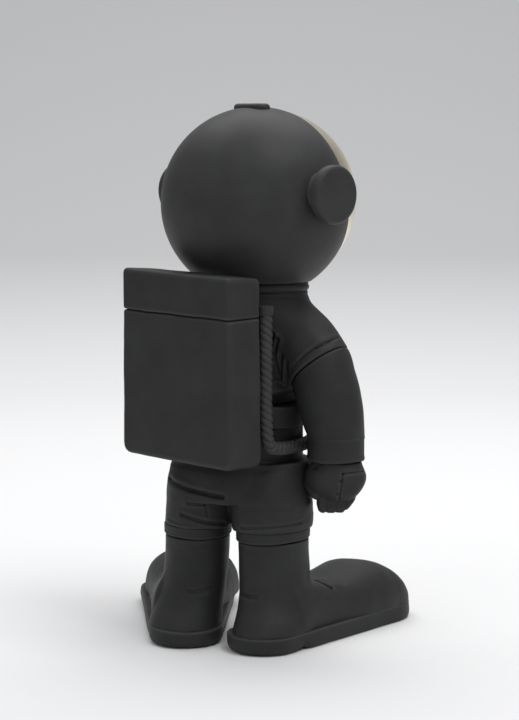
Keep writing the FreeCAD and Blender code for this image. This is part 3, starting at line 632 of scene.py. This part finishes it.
def pack_form(p, low, high):
    """The whole backpack: soft edges, faces a little full, leaning a touch, rounder at its foot."""
    shift, lean, taper, fullness = 0.3, 0.004, 0.015, 0.35
    upright_edge, top_edge, foot_edge, blend = 3.4, 2.8, 3.8, 3.0
    middle, half = (low + high) / 2, (high - low) / 2
    rise = p[:, 2] - middle[2]
    x = p[:, 0] - middle[0] + shift - lean * rise
    y = p[:, 1] - middle[1]
    lid_slope = (0.05 * (high[1] - p[:, 1]) - 0.5) * np.clip(rise / half[2], 0, 1)
    z = rise - PACK_TILT * p[:, 0] + lid_slope
    x = x / (1.0 - taper * (z / half[2]))
    back = np.clip(1 - (x / half[0]) ** 2, 0, 1) * np.clip(1 - (z / half[2]) ** 2, 0, 1)
    plan = rounded_rect(x, y - fullness * back * (y > 0), half[0], half[1], upright_edge)
    foot = np.clip(-z / 20 + 0.5, 0, 1)
    face = rounded_rect(x, z, half[0], half[2], top_edge + foot_edge * foot)
    return smax(plan, face, blend) + ripple(p, 34, 0.13, 11) + ripple(p, 12, 0.035, 12)


def build_pack():
    low, _ = UPPER.box("backpack_shell")
    lid_low, high = UPPER.box("backpack_lid")
    seam_z = lid_low[2]
    edge, gap, lip_in, lip_up = 1.3, 0.3, 1.5, 2.0

    def seam(p):
        wave = 0.12 * np.sin(p[:, 0] * 0.21 + 0.4) + 0.06 * np.sin(p[:, 0] * 0.53)
        return p[:, 2] - seam_z - SEAM_TILT * p[:, 0] - wave + 0.02 * (p[:, 1] - high[1])

    def shell(p):
        form, up = pack_form(p, low, high), seam(p)
        body = smax(form, up + gap, edge)
        return np.minimum(body, np.maximum(form + lip_in, up - lip_up))

    def lid(p):
        form, up = pack_form(p, low, high), seam(p)
        body = smax(form - 0.12, 0.25 - up, edge)
        return np.maximum(body, -np.maximum(form + 1.4, up - 2.2))

    top = np.array([high[0], high[1], seam_z + 4])
    sculpt("pack_shell_soft", shell, low - 2, top + 2, 0.75, UPPER, "torso", PACK, ["backpack_shell"])
    bottom = np.array([low[0], low[1], seam_z - 3])
    sculpt("pack_lid_soft", lid, bottom - 2, high + 2, 0.65, UPPER, "torso", PACK, ["backpack_lid"])


# ------------ chest unit and hoses

def build_chest():
    """A small box with a line round its front, and its three knobs; its back is inside the jacket."""
    half, back, foot, head = 19.0, -20.0, 139.0, 168.5
    edge, inset = 2.2, 3.2
    front = UPPER.box("chest_knob_1")[1][1]
    low = np.array([UPPER.box("chest_box")[0][0], front, foot])
    high = np.array([half, back, head])

    def field(p):
        d = box_field(p, low, high, edge)
        across = np.abs(p[:, 0]) - half + inset
        up = np.abs(p[:, 2] - (foot + head) / 2) - (head - foot) / 2 + inset
        d += groove(np.maximum(across, up), 0.5, 0.5) * (p[:, 1] < front + 2)
        return d + ripple(p, 15, 0.05, 13)

    sculpt("chest_box_soft", field, low - 1.5, high + 1.5, 0.6, UPPER, "torso", TRIM, ["chest_box"])
    for n in (1, 2, 3):
        name = "chest_knob_%d" % n
        knob_low, knob_high = UPPER.box(name)
        radius = (knob_high[0] - knob_low[0]) / 2
        stands = knob_high[1] - knob_low[1]
        origin = ((knob_low[0] + knob_high[0]) / 2, knob_high[1], (knob_low[2] + knob_high[2]) / 2)
        turned_piece(name + "_soft", rounded_rim(radius, -0.4, stands, 0.7, 0.1), origin, (0, -1, 0),
                     UPPER, "torso", TRIM, [name], 64)


def hose_points(sign):
    """The route of a hose: down beside the backpack, forward round the waist, up to the chest."""
    route = [(39.0, 24.1, 174.0), (39.0, 24.1, 152.0), (38.8, 24.1, 134.0), (38.9, 23.9, 119.0),
             (38.9, 22.6, 105.8), (36.8, 9.0, 103.8), (34.2, -6.0, 103.8), (30.6, -18.0, 104.2),
             (22.5, -31.0, 107.5), (14.5, -35.4, 119.0), (12.9, -34.9, 129.0), (12.5, -34.8, 136.0)]
    return [(sign * x, y, z) for x, y, z in route]


def centre_line(name, route):
    """Evenly spaced points along the smooth line that a route controls."""
    curve = bpy.data.curves.new(name, "CURVE")
    curve.dimensions = "3D"
    spline = curve.splines.new("NURBS")
    spline.points.add(len(route) - 1)
    for point, place in zip(spline.points, route):
        point.co = (*place, 1.0)
    spline.order_u = 3
    spline.use_endpoint_u = True
    curve.resolution_u = 48
    holder = bpy.data.objects.new(name, curve)
    mesh = bpy.data.meshes.new_from_object(holder)
    line = np.array([v.co for v in mesh.vertices])
    bpy.data.objects.remove(holder)
    bpy.data.meshes.remove(mesh)
    bpy.data.curves.remove(curve)
    run = np.concatenate([[0], np.cumsum(length(np.diff(line, axis=0)))])
    spacing = 0.45
    even = np.linspace(0, run[-1], int(run[-1] / spacing))
    return np.stack([np.interp(even, run, line[:, n]) for n in range(3)], -1), even


def carried_frames(line):
    """The side and up of a line at each of its points, carried along it without twist."""
    tangent = np.gradient(line, axis=0)
    tangent /= length(tangent)[:, None]
    side = np.cross(tangent[0], [0.0, 1.0, 0.2])
    side /= np.linalg.norm(side)
    sides = []
    for t in tangent:
        side = side - t * (side @ t)
        side /= np.linalg.norm(side)
        sides.append(side)
    sides = np.array(sides)
    return sides, np.cross(tangent, sides)


def sweep(line, radius, around=14):
    """A closed round tube along a line of points."""
    side, up = carried_frames(line)
    angles = np.arange(around) * 2 * math.pi / around
    rings = [line + radius * (math.cos(a) * side + math.sin(a) * up) for a in angles]
    points = np.stack(rings, 1).reshape(-1, 3)
    faces = []
    for n in range(len(line) - 1):
        for k in range(around):
            a, b = n * around + k, n * around + (k + 1) % around
            faces.append((a, b, b + around, a + around))
    faces.append(tuple(range(around))[::-1])
    last = (len(line) - 1) * around
    faces.append(tuple(range(last, last + around)))
    return points, faces


def build_hose(side, sign):
    """Three strands laid round each other, so that the hose reads as a twisted cord."""
    line, run = centre_line("hose_line_" + side, hose_points(sign))
    across, up = carried_frames(line)
    strands, lay, offset, strand = 3, 10.8, 1.62, 1.92
    points, faces = [], []
    for n in range(strands):
        angle = -2 * math.pi * run / lay + n * 2 * math.pi / strands
        helix = line + offset * (np.cos(angle)[:, None] * across + np.sin(angle)[:, None] * up)
        strand_points, strand_faces = sweep(helix, strand)
        start = sum(len(group) for group in points)
        points.append(strand_points)
        faces += [tuple(v + start for v in face) for face in strand_faces]
    add_mesh("hose_twist_" + side, np.vstack(points), faces, UPPER, "torso", ROPE, ["hose_" + side])
    build_ferrules(side)


def build_ferrules(side):
    low, high = UPPER.box("hose_ferrule_top_" + side)
    radius = (high[0] - low[0]) / 2
    middle = (low + high) / 2
    turned_piece("ferrule_top_%s_soft" % side, rounded_rim(radius, low[2], high[2], 0.6),
                 (middle[0], middle[1], 0), (0, 0, 1), UPPER, "torso", ROPE, ["hose_ferrule_top_" + side], 64)
    frame["nodes"]["hose_ferrule_chest_" + side].data.materials[0] = ROPE


# ------------ arms and gloves

def build_sleeve(side, sign):
    low, high = UPPER.box("sleeve_" + side)
    way = arm_way(sign)
    seam = shoulder(sign) + SEAM_DROP * way
    wrist = UPPER.from_row(JOINT["hand_%s_turn" % side])
    cuff_low, cuff_high = UPPER.box("cuff_" + side)
    path = [tuple(seam - 6 * way) + (CAP - 0.1,), tuple(seam + 0.3 * way) + (CAP - 0.4,),
            (sign * 45.2, -11.9, 139.8, CAP - 0.5), (sign * 47.9, -12.7, 130.0, CAP - 0.5),
            (sign * 50.0, -14.2, 119.5, CAP - 1.3),
            (wrist[0] - sign * 0.7, wrist[1], cuff_high[2], CAP - 2.8),
            (wrist[0] - sign * 0.7, wrist[1], cuff_high[2] - 8, CAP - 3.4)]
    inner = [(sign * 34, -4, 128), (sign * 37, 2, 126), (sign * 43, 4, 125)]
    crook = [(sign * 37, -26, 122), (sign * 35, -14, 121), (sign * 37, -4, 120)]
    under = [(sign * 38, 4, 137), (sign * 44, 6.5, 140), (sign * 50, 5, 144)]

    def field(p):
        past = plane(p, seam, way)
        d = smax(path_field(p, path), 0.3 - past, 1.1)
        d = smax(d, cuff_high[2] - 2.0 - p[:, 2], 0.8)
        d += groove(line_distance(p, inner), 1.8, 0.5) + groove(line_distance(p, crook), 1.6, 0.6)
        d += groove(line_distance(p, under), 1.6, 0.25)
        return d + ripple(p, 16, 0.11, 17)

    sculpt("sleeve_%s_soft" % side, field, low - 5, high + 5, 0.75, UPPER, "arm_" + side, SUIT,
           ["sleeve_" + side])
    build_cuff(side, sign, cuff_low, cuff_high, wrist)


def build_cuff(side, sign, low, high, wrist):
    radius = (high[0] - low[0]) / 2 + 0.45
    middle = [wrist[0] - sign * 0.9, wrist[1] + 0.2, 0]

    def field(p):
        q = p - middle
        angle = np.arctan2(q[:, 1], sign * q[:, 0])
        top = high[2] - 0.2 + 0.5 * np.sin(angle + 4.2)
        bottom = low[2] + 0.3 + 0.25 * np.sin(angle * 3 + 1.0)
        swell = groove(p[:, 2] - top + 1.0, 0.9, 0.30) + groove(p[:, 2] - bottom - 1.3, 1.2, 0.35)
        d = length(q[:, :2]) - radius + 0.2 * np.sin(2 * angle + 0.5) - swell
        d = smax(smax(d, bottom - p[:, 2], 0.9), p[:, 2] - top, 0.7)
        return d + ripple(p, 11, 0.10, 19)

    sculpt("cuff_%s_soft" % side, field, low - 4, high + 4, 0.5, UPPER, "arm_" + side, SUIT,
           ["cuff_" + side])


def build_glove(side, sign):
    """A loosely closed fist: u runs across the back of it, a runs out of its back, z up from its top."""
    low, high = UPPER.box("glove_" + side)
    wrist = UPPER.from_row(JOINT["hand_%s_turn" % side])
    top = wrist[2] - 0.3

    def field(p):
        x, y = sign * (p[:, 0] - wrist[0]), p[:, 1] - wrist[1]
        q = np.stack([(x - y) * math.sqrt(0.5), (x + y) * math.sqrt(0.5), p[:, 2] - top], -1)
        palm = ellipsoid(q, (-1.2, 0.0, -8.6), (15.6, 13.4, 12.6))
        knuckles = ellipsoid(q, (3.0, 1.8, -10.6), (12.0, 11.6, 10.2))
        neck = between(q, np.sqrt(q[:, 0] ** 2 + q[:, 1] ** 2) - 12.2, -9.0, 3.0, 1.0)
        d = smin(smin(palm, knuckles, 3.0), neck, 2.6)
        d = smax(d, plane(q, (13.6, 0, -13.2), (0.80, 0, -0.60)), 3.0)
        fingers = box_field(q, (-10.6, -9.6, -26.4), (9.6, 7.0, -12.0), 3.0)
        fingers = smax(fingers, plane(q, (9.4, 0.0, -19.5), (0.76, 0.0, -0.65)), 1.2)
        fingers += groove(q[:, 2] + 26.4 - 2.5 * np.sin(q[:, 0] * 0.5), 0.8, 0.15)
        for u in (-5.6, -0.8, 4.0):
            fingers += groove(line_distance(q[:, [0, 2]], [(u, -19.0), (u - 0.3, -28)]), 0.6, 0.45)
        d = smin(d, fingers, 0.6)
        thumb = path_field(q, [(-8.6, -5.0, -3.6, 4.4), (-12.6, -3.2, -6.6, 4.2), (-13.6, 0.2, -11.6, 4.0),
                               (-10.6, 3.2, -16.0, 3.7)])
        d = smin(d, thumb, 0.7)
        d += glove_lines(q)
        d = smax(d, q[:, 2], 0.6)
        return d + ripple(p, 8, 0.10, 23)

    sculpt("glove_%s_soft" % side, field, low - 4, high + 4, 0.5, UPPER, "hand_" + side, GLOVE,
           ["glove_" + side])


def glove_lines(q):
    """The modelled lines on the back of the hand, and the pits where they meet."""
    outer = np.clip((q[:, 1] - 0.5) / 3.0, 0, 1)
    flat = q[:, [0, 2]]
    between_knuckles = [(2.4, -4.6), (1.9, -8.7), (1.3, -13.5), (0.4, -18.2)]
    across_knuckles = [(2.2, -4.8), (6.7, -4.4), (12.5, -4.6)]
    total = groove(line_distance(flat, between_knuckles), 0.5, 0.9)
    total += groove(line_distance(flat, across_knuckles), 0.55, 0.8)
    for u, z in ((1.4, -8.4), (-0.3, -15.2)):
        total += groove(length(flat - np.array([u, z])), 0.8, 1.2)
    total *= outer
    total -= groove(flat[:, 1] + 2.2, 1.0, 0.25) * np.clip(1 - (flat[:, 0] - 6) ** 2 / 30, 0, 1)
    for spot in ((-11.4, 6.6, -1.8), (-13.2, 4.0, -7.6)):
        total += groove(length(q - np.array(spot)), 1.5, 1.6)
    return total


# ------------ trousers and hems

# Rise from the hips' top, half width, half depth, set back.
HIP_SECTIONS = ((2, 38.4, 28.2, 4.2), (-3, 38.1, 28.2, 5.2), (-7, 37.8, 28.3, 6.8), (-13, 36.8, 28.3, 8.0),
                (-20, 36.2, 26.6, 9.0), (-30, 35.0, 24.0, 9.6))


def leg_sections(sign, hem_top):
    wider = 0.0 if sign > 0 else 0.9
    return [(hem_top - 2, 18.6 + wider, 23.4, -sign * 1.1, -0.4),
            (hem_top + 3, 18.9 + wider, 24.0, -sign * 1.7 - wider, -0.7),
            (hem_top + 10, 19.2 + wider, 24.1, -sign * 2.5 - wider, -1.0),
            (hem_top + 20, 19.0 + wider, 23.4, -sign * 2.6 - wider, -0.8),
            (hem_top + 34, 14.0, 18.0, -sign * 1.5, -2.0)]


def build_trousers():
    low, high = LOWER.box("trousers")
    top, hem_top = high[2], low[2]
    stub, hip_height, leg_height, fillet = 16.2, 22.3, 30, 2.6
    hip_top = top - stub
    waist = [(hip_top - 6, 31.5, 26.4, 0, 0.5), (hip_top + 8, 31.2, 26.2, 0, 0.2),
             (top + 2, 30.8, 26.0, 0, 0)]
    hips = [(hip_top + rise, half_x, half_y, 0, back) for rise, half_x, half_y, back in HIP_SECTIONS]
    places = {sign: boot_place(side, sign) for side, sign in SIDES}

    def field(p):
        d = between(p, column(p, hips), hip_top - hip_height, hip_top - 1.2, 1.0)
        d = smin(d, between(p, column(p, waist), hip_top - 6, top, 0.6), 0.8)
        row = LOWER.to_row(p)
        for sign, place in places.items():
            q = place.from_row(row)
            leg = between(q, column(q, leg_sections(sign, hem_top)), hem_top, hem_top + leg_height, 0.9)
            d = smin(d, leg, fillet)
            d += leg_folds(q, sign, hem_top)
        d += seat_folds(p, top)
        return d + ripple(p, 18, 0.13, 29) + ripple(p, 7, 0.03, 30)

    sculpt("trousers_soft", field, low - 3, high + 3, 0.8, LOWER, "pelvis", SUIT, ["trousers"])


# Creases above each hem, in the leg's own frame: points, width and depth.
LEG_CREASES = {
    1: (([(5.5, 21.6, 13.4), (-3.5, 22.8, 13.0)], 0.6, 0.9),
        ([(-4, 22.8, 13.0), (-5, 22.4, 7.5)], 0.6, 0.5),
        ([(9.5, 20.0, 7.2), (3.0, 22.4, 5.6), (-5.0, 22.4, 3.4), (-14, 16.0, 1.6)], 0.8, 1.2),
        ([(16.5, 10.0, 3.5), (10.0, 19.0, 2.4)], 0.6, 0.35),
        ([(15, -18, 9), (4, -23, 7), (-8, -21, 9)], 1.1, 0.6)),
    -1: (([(4, 22.6, 2.8), (-6, 22.0, 3.2), (-15, 13.5, 3.8), (-18.6, 1.0, 4.6)], 0.7, 0.8),
         ([(-19, -4, 16), (-17.5, 8, 12.5), (-13, 17, 11.5)], 1.3, 0.35),
         ([(8, -21, 9), (-4, -23, 7), (-14, -17, 9)], 1.1, 0.6))}


def leg_folds(q, sign, hem_top):
    """Slack creases above the hem: short ones on the left leg, a slanting one on the right."""
    girth, outside, above = 22, 26, 18
    total = np.zeros(len(q))
    near = np.clip(1 - (length(q[:, :2]) - outside) / 4, 0, 1) * (q[:, 2] < hem_top + above)
    wrapped = np.stack([np.arctan2(q[:, 1], q[:, 0]) * girth, q[:, 2]], -1)
    for points, width, depth in LEG_CREASES[sign]:
        line = [(math.atan2(y, x) * girth, hem_top + z) for x, y, z in points]
        far = line_distance(wrapped, line)
        total += (groove(far, width, depth) - groove(far - 2.2 * width, 1.6 * width, depth * 0.3)) * near
    return total


def seat_folds(p, top):
    """The deep crease under the left side of the seat, a faint one under the right, and one in front."""
    left = [(33, -28.6), (24, -30.6), (17, -32.2), (9.5, -33.2), (3, -34.0), (-2, -34.2)]
    front_side = np.where(p[:, 1] > 6, 0, 50)
    far = line_distance(p[:, [0, 2]], [(x, top + z) for x, z in left]) + front_side
    strength = 0.45 + 0.55 * np.clip((28 - p[:, 0]) / 14, 0, 1)
    total = groove(far, 1.0, 2.3) * strength - groove(far - 2.6, 1.9, 0.4)
    below = p[:, 2] < top - 32 + 0.05 * p[:, 0]
    span = np.clip((p[:, 0] + 1) / 4, 0, 1) * np.clip((22 - p[:, 0]) / 6, 0, 1)
    total += 0.5 * span * below * groove(far, 6.0, 1.0)
    right = [(-6, 34, top - 35.5), (-16, 33, top - 36.5), (-26, 28, top - 35)]
    front = [(-14, -20, top - 30), (0, -19.5, top - 33), (14, -20, top - 30)]
    return total + groove(line_distance(p, right), 2.2, 0.30) + groove(line_distance(p, front), 1.6, 0.8)


def build_hem(side, sign):
    place = boot_place(side, sign)
    low, high = place.box("hem_band_" + side)
    half = (high - low) / 2

    def field(p):
        angle = np.arctan2(p[:, 1], p[:, 0])
        d = column(p, [(low[2] - 1, half[0], half[1], 0, 0), (high[2] + 1, half[0], half[1], 0, 0)])
        bottom = low[2] + 0.25 + 0.2 * np.sin(angle * 2 + 1.1)
        line = low[2] + 1.9 + 0.25 * np.sin(angle * 2 + 2.0)
        d += groove(p[:, 2] - line, 0.28, 0.30)
        d = smax(smax(d, bottom - p[:, 2], 1.0), p[:, 2] - high[2] - 0.05, 0.8)
        return d + ripple(p, 13, 0.10, 31 + sign)

    sculpt("hem_%s_soft" % side, field, low - 1, high + 1, 0.6, place, "pelvis", SUIT, ["hem_band_" + side])


# ------------ boots

def build_boot(side, sign):
    place = boot_place(side, sign)
    low, high = place.box("boot_" + side)
    sole_low, sole_high = place.box("sole_" + side)
    x = (sole_low[0] + sole_high[0]) / 2
    ledge, top = low[2], high[2]
    toe_radius = (sole_high[0] - sole_low[0]) / 2
    toe = -sole_low[1] - toe_radius
    shaft = [(top + 2, 17.0, 21.0, 0, -0.2), (top - 14, 17.1, 21.2, 0.1 * x, 0.0),
             (ledge + 19, 17.1, 21.4, 0.35 * x, 1.6), (ledge + 12, 17.6, 22.6, 0.6 * x, 3.8),
             (ledge + 6, 18.5, 23.8, 0.85 * x, 6.6), (ledge + 1, 19.1, 24.8, x, 8.8),
             (ledge - 2, 19.2, 25.0, x, 9.4)]
    wide_at = smooth_table([(-12, 17.5), (8, 18.8), (0.3 * toe, 19.6), (0.6 * toe, 23.2),
                            (0.85 * toe, toe_radius - 0.6), (toe, toe_radius - 0.5)])
    tall_at = smooth_table([(-12, 27.0), (4, 25.2), (0.26 * toe, 21.4), (0.34 * toe, 20.0),
                            (0.45 * toe, 20.0), (0.55 * toe, 21.0), (0.66 * toe, 22.2), (0.8 * toe, 23.3),
                            (0.92 * toe, 23.3), (toe + 4, 20.6), (toe + 12, 15.5), (toe + 18, 10.6),
                            (toe + 22, 6.6), (toe + 25.4, 2.4)])
    lean = -2.4 if sign > 0 else 0.0
    inset, full, fillet = 0.5, 2.5, 2.2

    def field(p):
        ahead = -p[:, 1]
        past = np.clip(ahead - toe, 0, toe_radius - 1.5)
        wide = np.interp(ahead, wide_at[:, 0], wide_at[:, 1])
        wide = np.where(ahead > toe, np.sqrt(np.maximum((toe_radius - inset) ** 2 - past ** 2, 4.0)), wide)
        tall = np.interp(ahead, tall_at[:, 0], tall_at[:, 1])
        over = lean * np.clip((ahead - 20) / 30, 0, 1)
        q = np.abs(np.stack([(p[:, 0] - x - over) / wide, (p[:, 2] - ledge) / tall], -1))
        body = ((q ** full).sum(-1) ** (1 / full) - 1) * np.minimum(wide, tall)
        body = smax(body, ahead - toe - toe_radius + 0.7, 1.5)
        body = smax(body, -8 - ahead, 3.0)
        d = smin(column(p, shaft), body, fillet)
        d = smax(d, p[:, 2] - top, 0.9)
        d = smax(d, ledge - 0.9 - p[:, 2], 0.35)
        d += boot_creases(p, sign, ledge)
        return d + ripple(p, 19, 0.14, 37 + sign) + ripple(p, 8, 0.04, 47)

    sculpt("boot_%s_soft" % side, field, low - 5, high + 5, 0.8, place, "foot_" + side, BOOT,
           ["boot_" + side])
    build_sole(side, sign, place, x, sole_low, sole_high, toe_radius, toe)


# Creases (and, with a depth below zero, bulges), outward, back and up from the floor: points, width, depth.
BOOT_CREASES = (([(12, -28.5, 28.0), (17.5, -29.5, 25.4)], 3.0, -1.1),
                ([(17, -17.0, 26.8), (18.0, -12.0, 25.2)], 2.8, -0.9),
                ([(16.6, -6.0, 28.5), (18.6, -14.0, 23.5)], 1.5, 0.35),
                ([(14.0, -34.5, 31.5), (19.5, -36.5, 26.5)], 1.5, 0.40),
                ([(-8.5, 19.0, 28.4), (-5.0, 21.2, 28.0), (1.0, 23.0, 27.4), (5.0, 22.8, 27.8)], 0.85, 1.6),
                ([(-6.0, 21.4, 25.6), (2.0, 23.6, 25.2)], 1.6, -0.35),
                ([(-8, 19, 51.2), (1, 21.0, 50.4), (10, 17.0, 51.4)], 0.6, 0.30),
                ([(6, 20.0, 48.6), (14, 12.5, 49.6)], 0.6, 0.22))


def boot_creases(p, sign, ledge):
    """The notch at the instep with its soft bulges, and the creases round the ankle and below the hem."""
    sole_thick = 9.0
    up = ledge - sole_thick
    plan = p[:, :2] * [sign, 1]
    above = np.clip((p[:, 2] - ledge - 13.0) / 2.5, 0, 1)
    outer = line_distance(plan, [(0, -23.6), (8.2, -24.0), (13.3, -23.2), (17.0, -24.2), (19.2, -25.4)])
    inner = line_distance(plan, [(0, -23.6), (-6, -24.0), (-13, -25.0)])
    total = (groove(outer, 0.95, 2.6) + groove(inner, 1.1, 1.8)) * above
    for points, width, depth in BOOT_CREASES:
        far = line_distance(p, [(sign * x, y, z + up) for x, y, z in points])
        total += groove(far, width, depth)
    return total


def build_sole(side, sign, place, x, low, high, toe_radius, toe):
    """A sole that widens from a round heel to a round toe, with a raised step ahead of the heel block."""
    heel_radius, heel_block = 19.4, 9.5
    heel_rounding, toe_rounding = 4.4, 2.0
    heel = high[1] - heel_radius
    thick = high[2] - low[2]
    block_end = heel - heel_block
    lip_up, lip_width, lip_out = (5.6, 2.4, 0.45) if sign > 0 else (3.0, 2.6, 0.35)
    a, b = np.array([x, heel]), np.array([x, -toe])
    run = b - a
    reach = np.linalg.norm(run)
    slope = (toe_radius - heel_radius) / reach

    def field(p):
        flat = p[:, :2] - a
        ahead = flat @ run / reach
        across = np.abs(p[:, 0] - x)
        u = np.clip((ahead + across * slope / math.sqrt(1 - slope ** 2)) / reach, 0, 1)
        rim = length(flat - u[:, None] * run) - (heel_radius + (toe_radius - heel_radius) * u) + 0.2
        front = np.clip((block_end + 4 - p[:, 1]) / 8, 0, 1)
        lip = groove(p[:, 2] - low[2] - lip_up, lip_width, lip_out) * front
        waist = groove(p[:, 1] - block_end, 3.4, 1.3) * np.clip(1 - p[:, 2] / 6.0, 0, 1)
        d = rim - lip + waist + 0.35 * front * np.clip(1 - p[:, 2] / 5.0, 0, 1)
        under = 0.05 - p[:, 2] + 1.1 * groove(p[:, 1] - block_end, 2.6, 1.0)
        d = smax(d, under, heel_rounding) * (1 - front) + smax(d, under, toe_rounding) * front
        edge = 1.1 * (1 - front) + 0.5 * front if sign > 0 else 0.45
        d = smax(d, p[:, 2] - thick + 0.15 * (1 - front), edge)
        return d + ripple(p, 22, 0.08, 41 + sign)

    sculpt("sole_%s_soft" % side, field, low - 1, high + 1, 0.7, place, "foot_" + side, BOOT,
           ["sole_" + side])


# ------------ studio

def build_stage():
    """A white table that sweeps up into a wall; the wall's pale grey is painted shade."""
    near, depth, rise, radius, half = -2.5, 2.0, 3.2, 1.0, 4.0
    bend = 16
    profile = [(near, 0.0), (0.0, 0.0), (depth - radius, 0.0)]
    for n in range(1, bend + 1):
        a = math.radians(90 * n / bend)
        profile.append((depth - radius + radius * math.sin(a), radius - radius * math.cos(a)))
    profile.append((depth, rise))
    away = -camera_way()
    away.z = 0
    away.normalize()
    across = Vector((-away.y, away.x, 0))
    points = [tuple(across * x + away * d + Vector((0, 0, z))) for x in (-half, half) for d, z in profile]
    count = len(profile)
    faces = [(n, n + 1, n + 1 + count, n + count) for n in range(count - 1)]
    mesh = bpy.data.meshes.new("studio_sweep")
    mesh.from_pydata(points, [], faces)
    mesh.shade_smooth()
    backdrop = bpy.data.objects.new("studio_sweep", mesh)
    bpy.context.scene.collection.objects.link(backdrop)
    mesh.materials.append(stage_paper())


def stage_paper():
    """Matt paper: white on the table, darkening to pale grey up the wall as painted shade."""
    material, tree, shader = nodes_of("studio_paper")
    coords = tree.nodes.new("ShaderNodeTexCoord").outputs["Object"]
    split = tree.nodes.new("ShaderNodeSeparateXYZ")
    tree.links.new(coords, split.inputs[0])
    # Painted shade: the paper's colour darkens with height, in place of the weaker light on the wall.
    shade = ramp(tree, split.outputs["Z"], grey(0.78), grey(0.56), (0.005, 0.11))
    tree.links.new(shade, shader.inputs["Base Color"])
    shader.inputs["Roughness"].default_value = 0.9
    shader.inputs["Specular IOR Level"].default_value = 0.1
    return material


CAMERA_AZIMUTH = 202.0
CAMERA_ELEVATION = 6.4
CAMERA_DISTANCE = 1.1
CAMERA_LENS = 105.0
TARGET = Vector((WAIST[0] - 9.2, WAIST[1] + 2.9, 146.7)) * MM


def camera_way():
    """From the target to the camera."""
    turn, tip = math.radians(CAMERA_AZIMUTH - 180), math.radians(CAMERA_ELEVATION)
    return Vector((-math.sin(turn) * math.cos(tip), math.cos(turn) * math.cos(tip), math.sin(tip)))


def build_camera():
    data = bpy.data.cameras.new("camera")
    data.lens = CAMERA_LENS
    data.sensor_width = 36.0
    data.clip_start = 0.05
    camera = bpy.data.objects.new("camera", data)
    camera.location = TARGET + camera_way() * CAMERA_DISTANCE
    camera.rotation_euler = (-camera_way()).to_track_quat("-Z", "Y").to_euler()
    bpy.context.scene.collection.objects.link(camera)
    bpy.context.scene.camera = camera


def area_light(name, place, size, power, aim):
    data = bpy.data.lights.new(name, "AREA")
    data.shape = "RECTANGLE"
    data.size, data.size_y = size
    data.energy = power
    light = bpy.data.objects.new(name, data)
    light.location = place
    light.rotation_euler = (Vector(aim) - Vector(place)).to_track_quat("-Z", "Y").to_euler()
    bpy.context.scene.collection.objects.link(light)


def build_lights():
    """A soft light overhead, a weak fill at the camera's left, a strong one at its right, one on the wall."""
    back = camera_way()
    right = Vector((-back.y, back.x, 0)).normalized()
    up = Vector((0, 0, 1))
    middle = up * 0.15
    wall = middle - back * 2.0 + up * 1.2
    area_light("overhead", middle + up * 1.25 - back * 0.55, (1.5, 1.0), 13.0, middle)
    area_light("left_fill", middle - right * 0.9 + back * 1.0 + up * 1.2, (0.9, 0.9), 2.5, middle)
    area_light("right_fill", middle + right * 0.55 + back * 0.45 + up * 1.35, (0.8, 0.8), 11.0, middle)
    area_light("wall_wash", middle - back * 1.15 + up * 1.7, (2.6, 0.5), 6.5, wall)
    world = bpy.data.worlds.new("studio_air")
    world.use_nodes = True
    background = world.node_tree.nodes["Background"]
    background.inputs["Color"].default_value = (0.86, 0.87, 0.90, 1)
    background.inputs["Strength"].default_value = 0.52
    bpy.context.scene.world = world
    bpy.context.scene.view_settings.view_transform = "Standard"


# ------------ the whole

def finish_hidden_nodes():
    """The pegs and studs keep their CAD shape and get their own plastic."""
    for name, node in frame["nodes"].items():
        if "peg" in name or "stud" in name:
            node.data.materials[0] = PEG


build_camera()
build_stage()
build_lights()
build_head()
build_torso()
build_collar()
build_belt()
build_pack()
build_chest()
build_trousers()
for side, sign in SIDES:
    build_hose(side, sign)
    build_sleeve(side, sign)
    build_glove(side, sign)
    build_hem(side, sign)
    build_boot(side, sign)
finish_hidden_nodes()
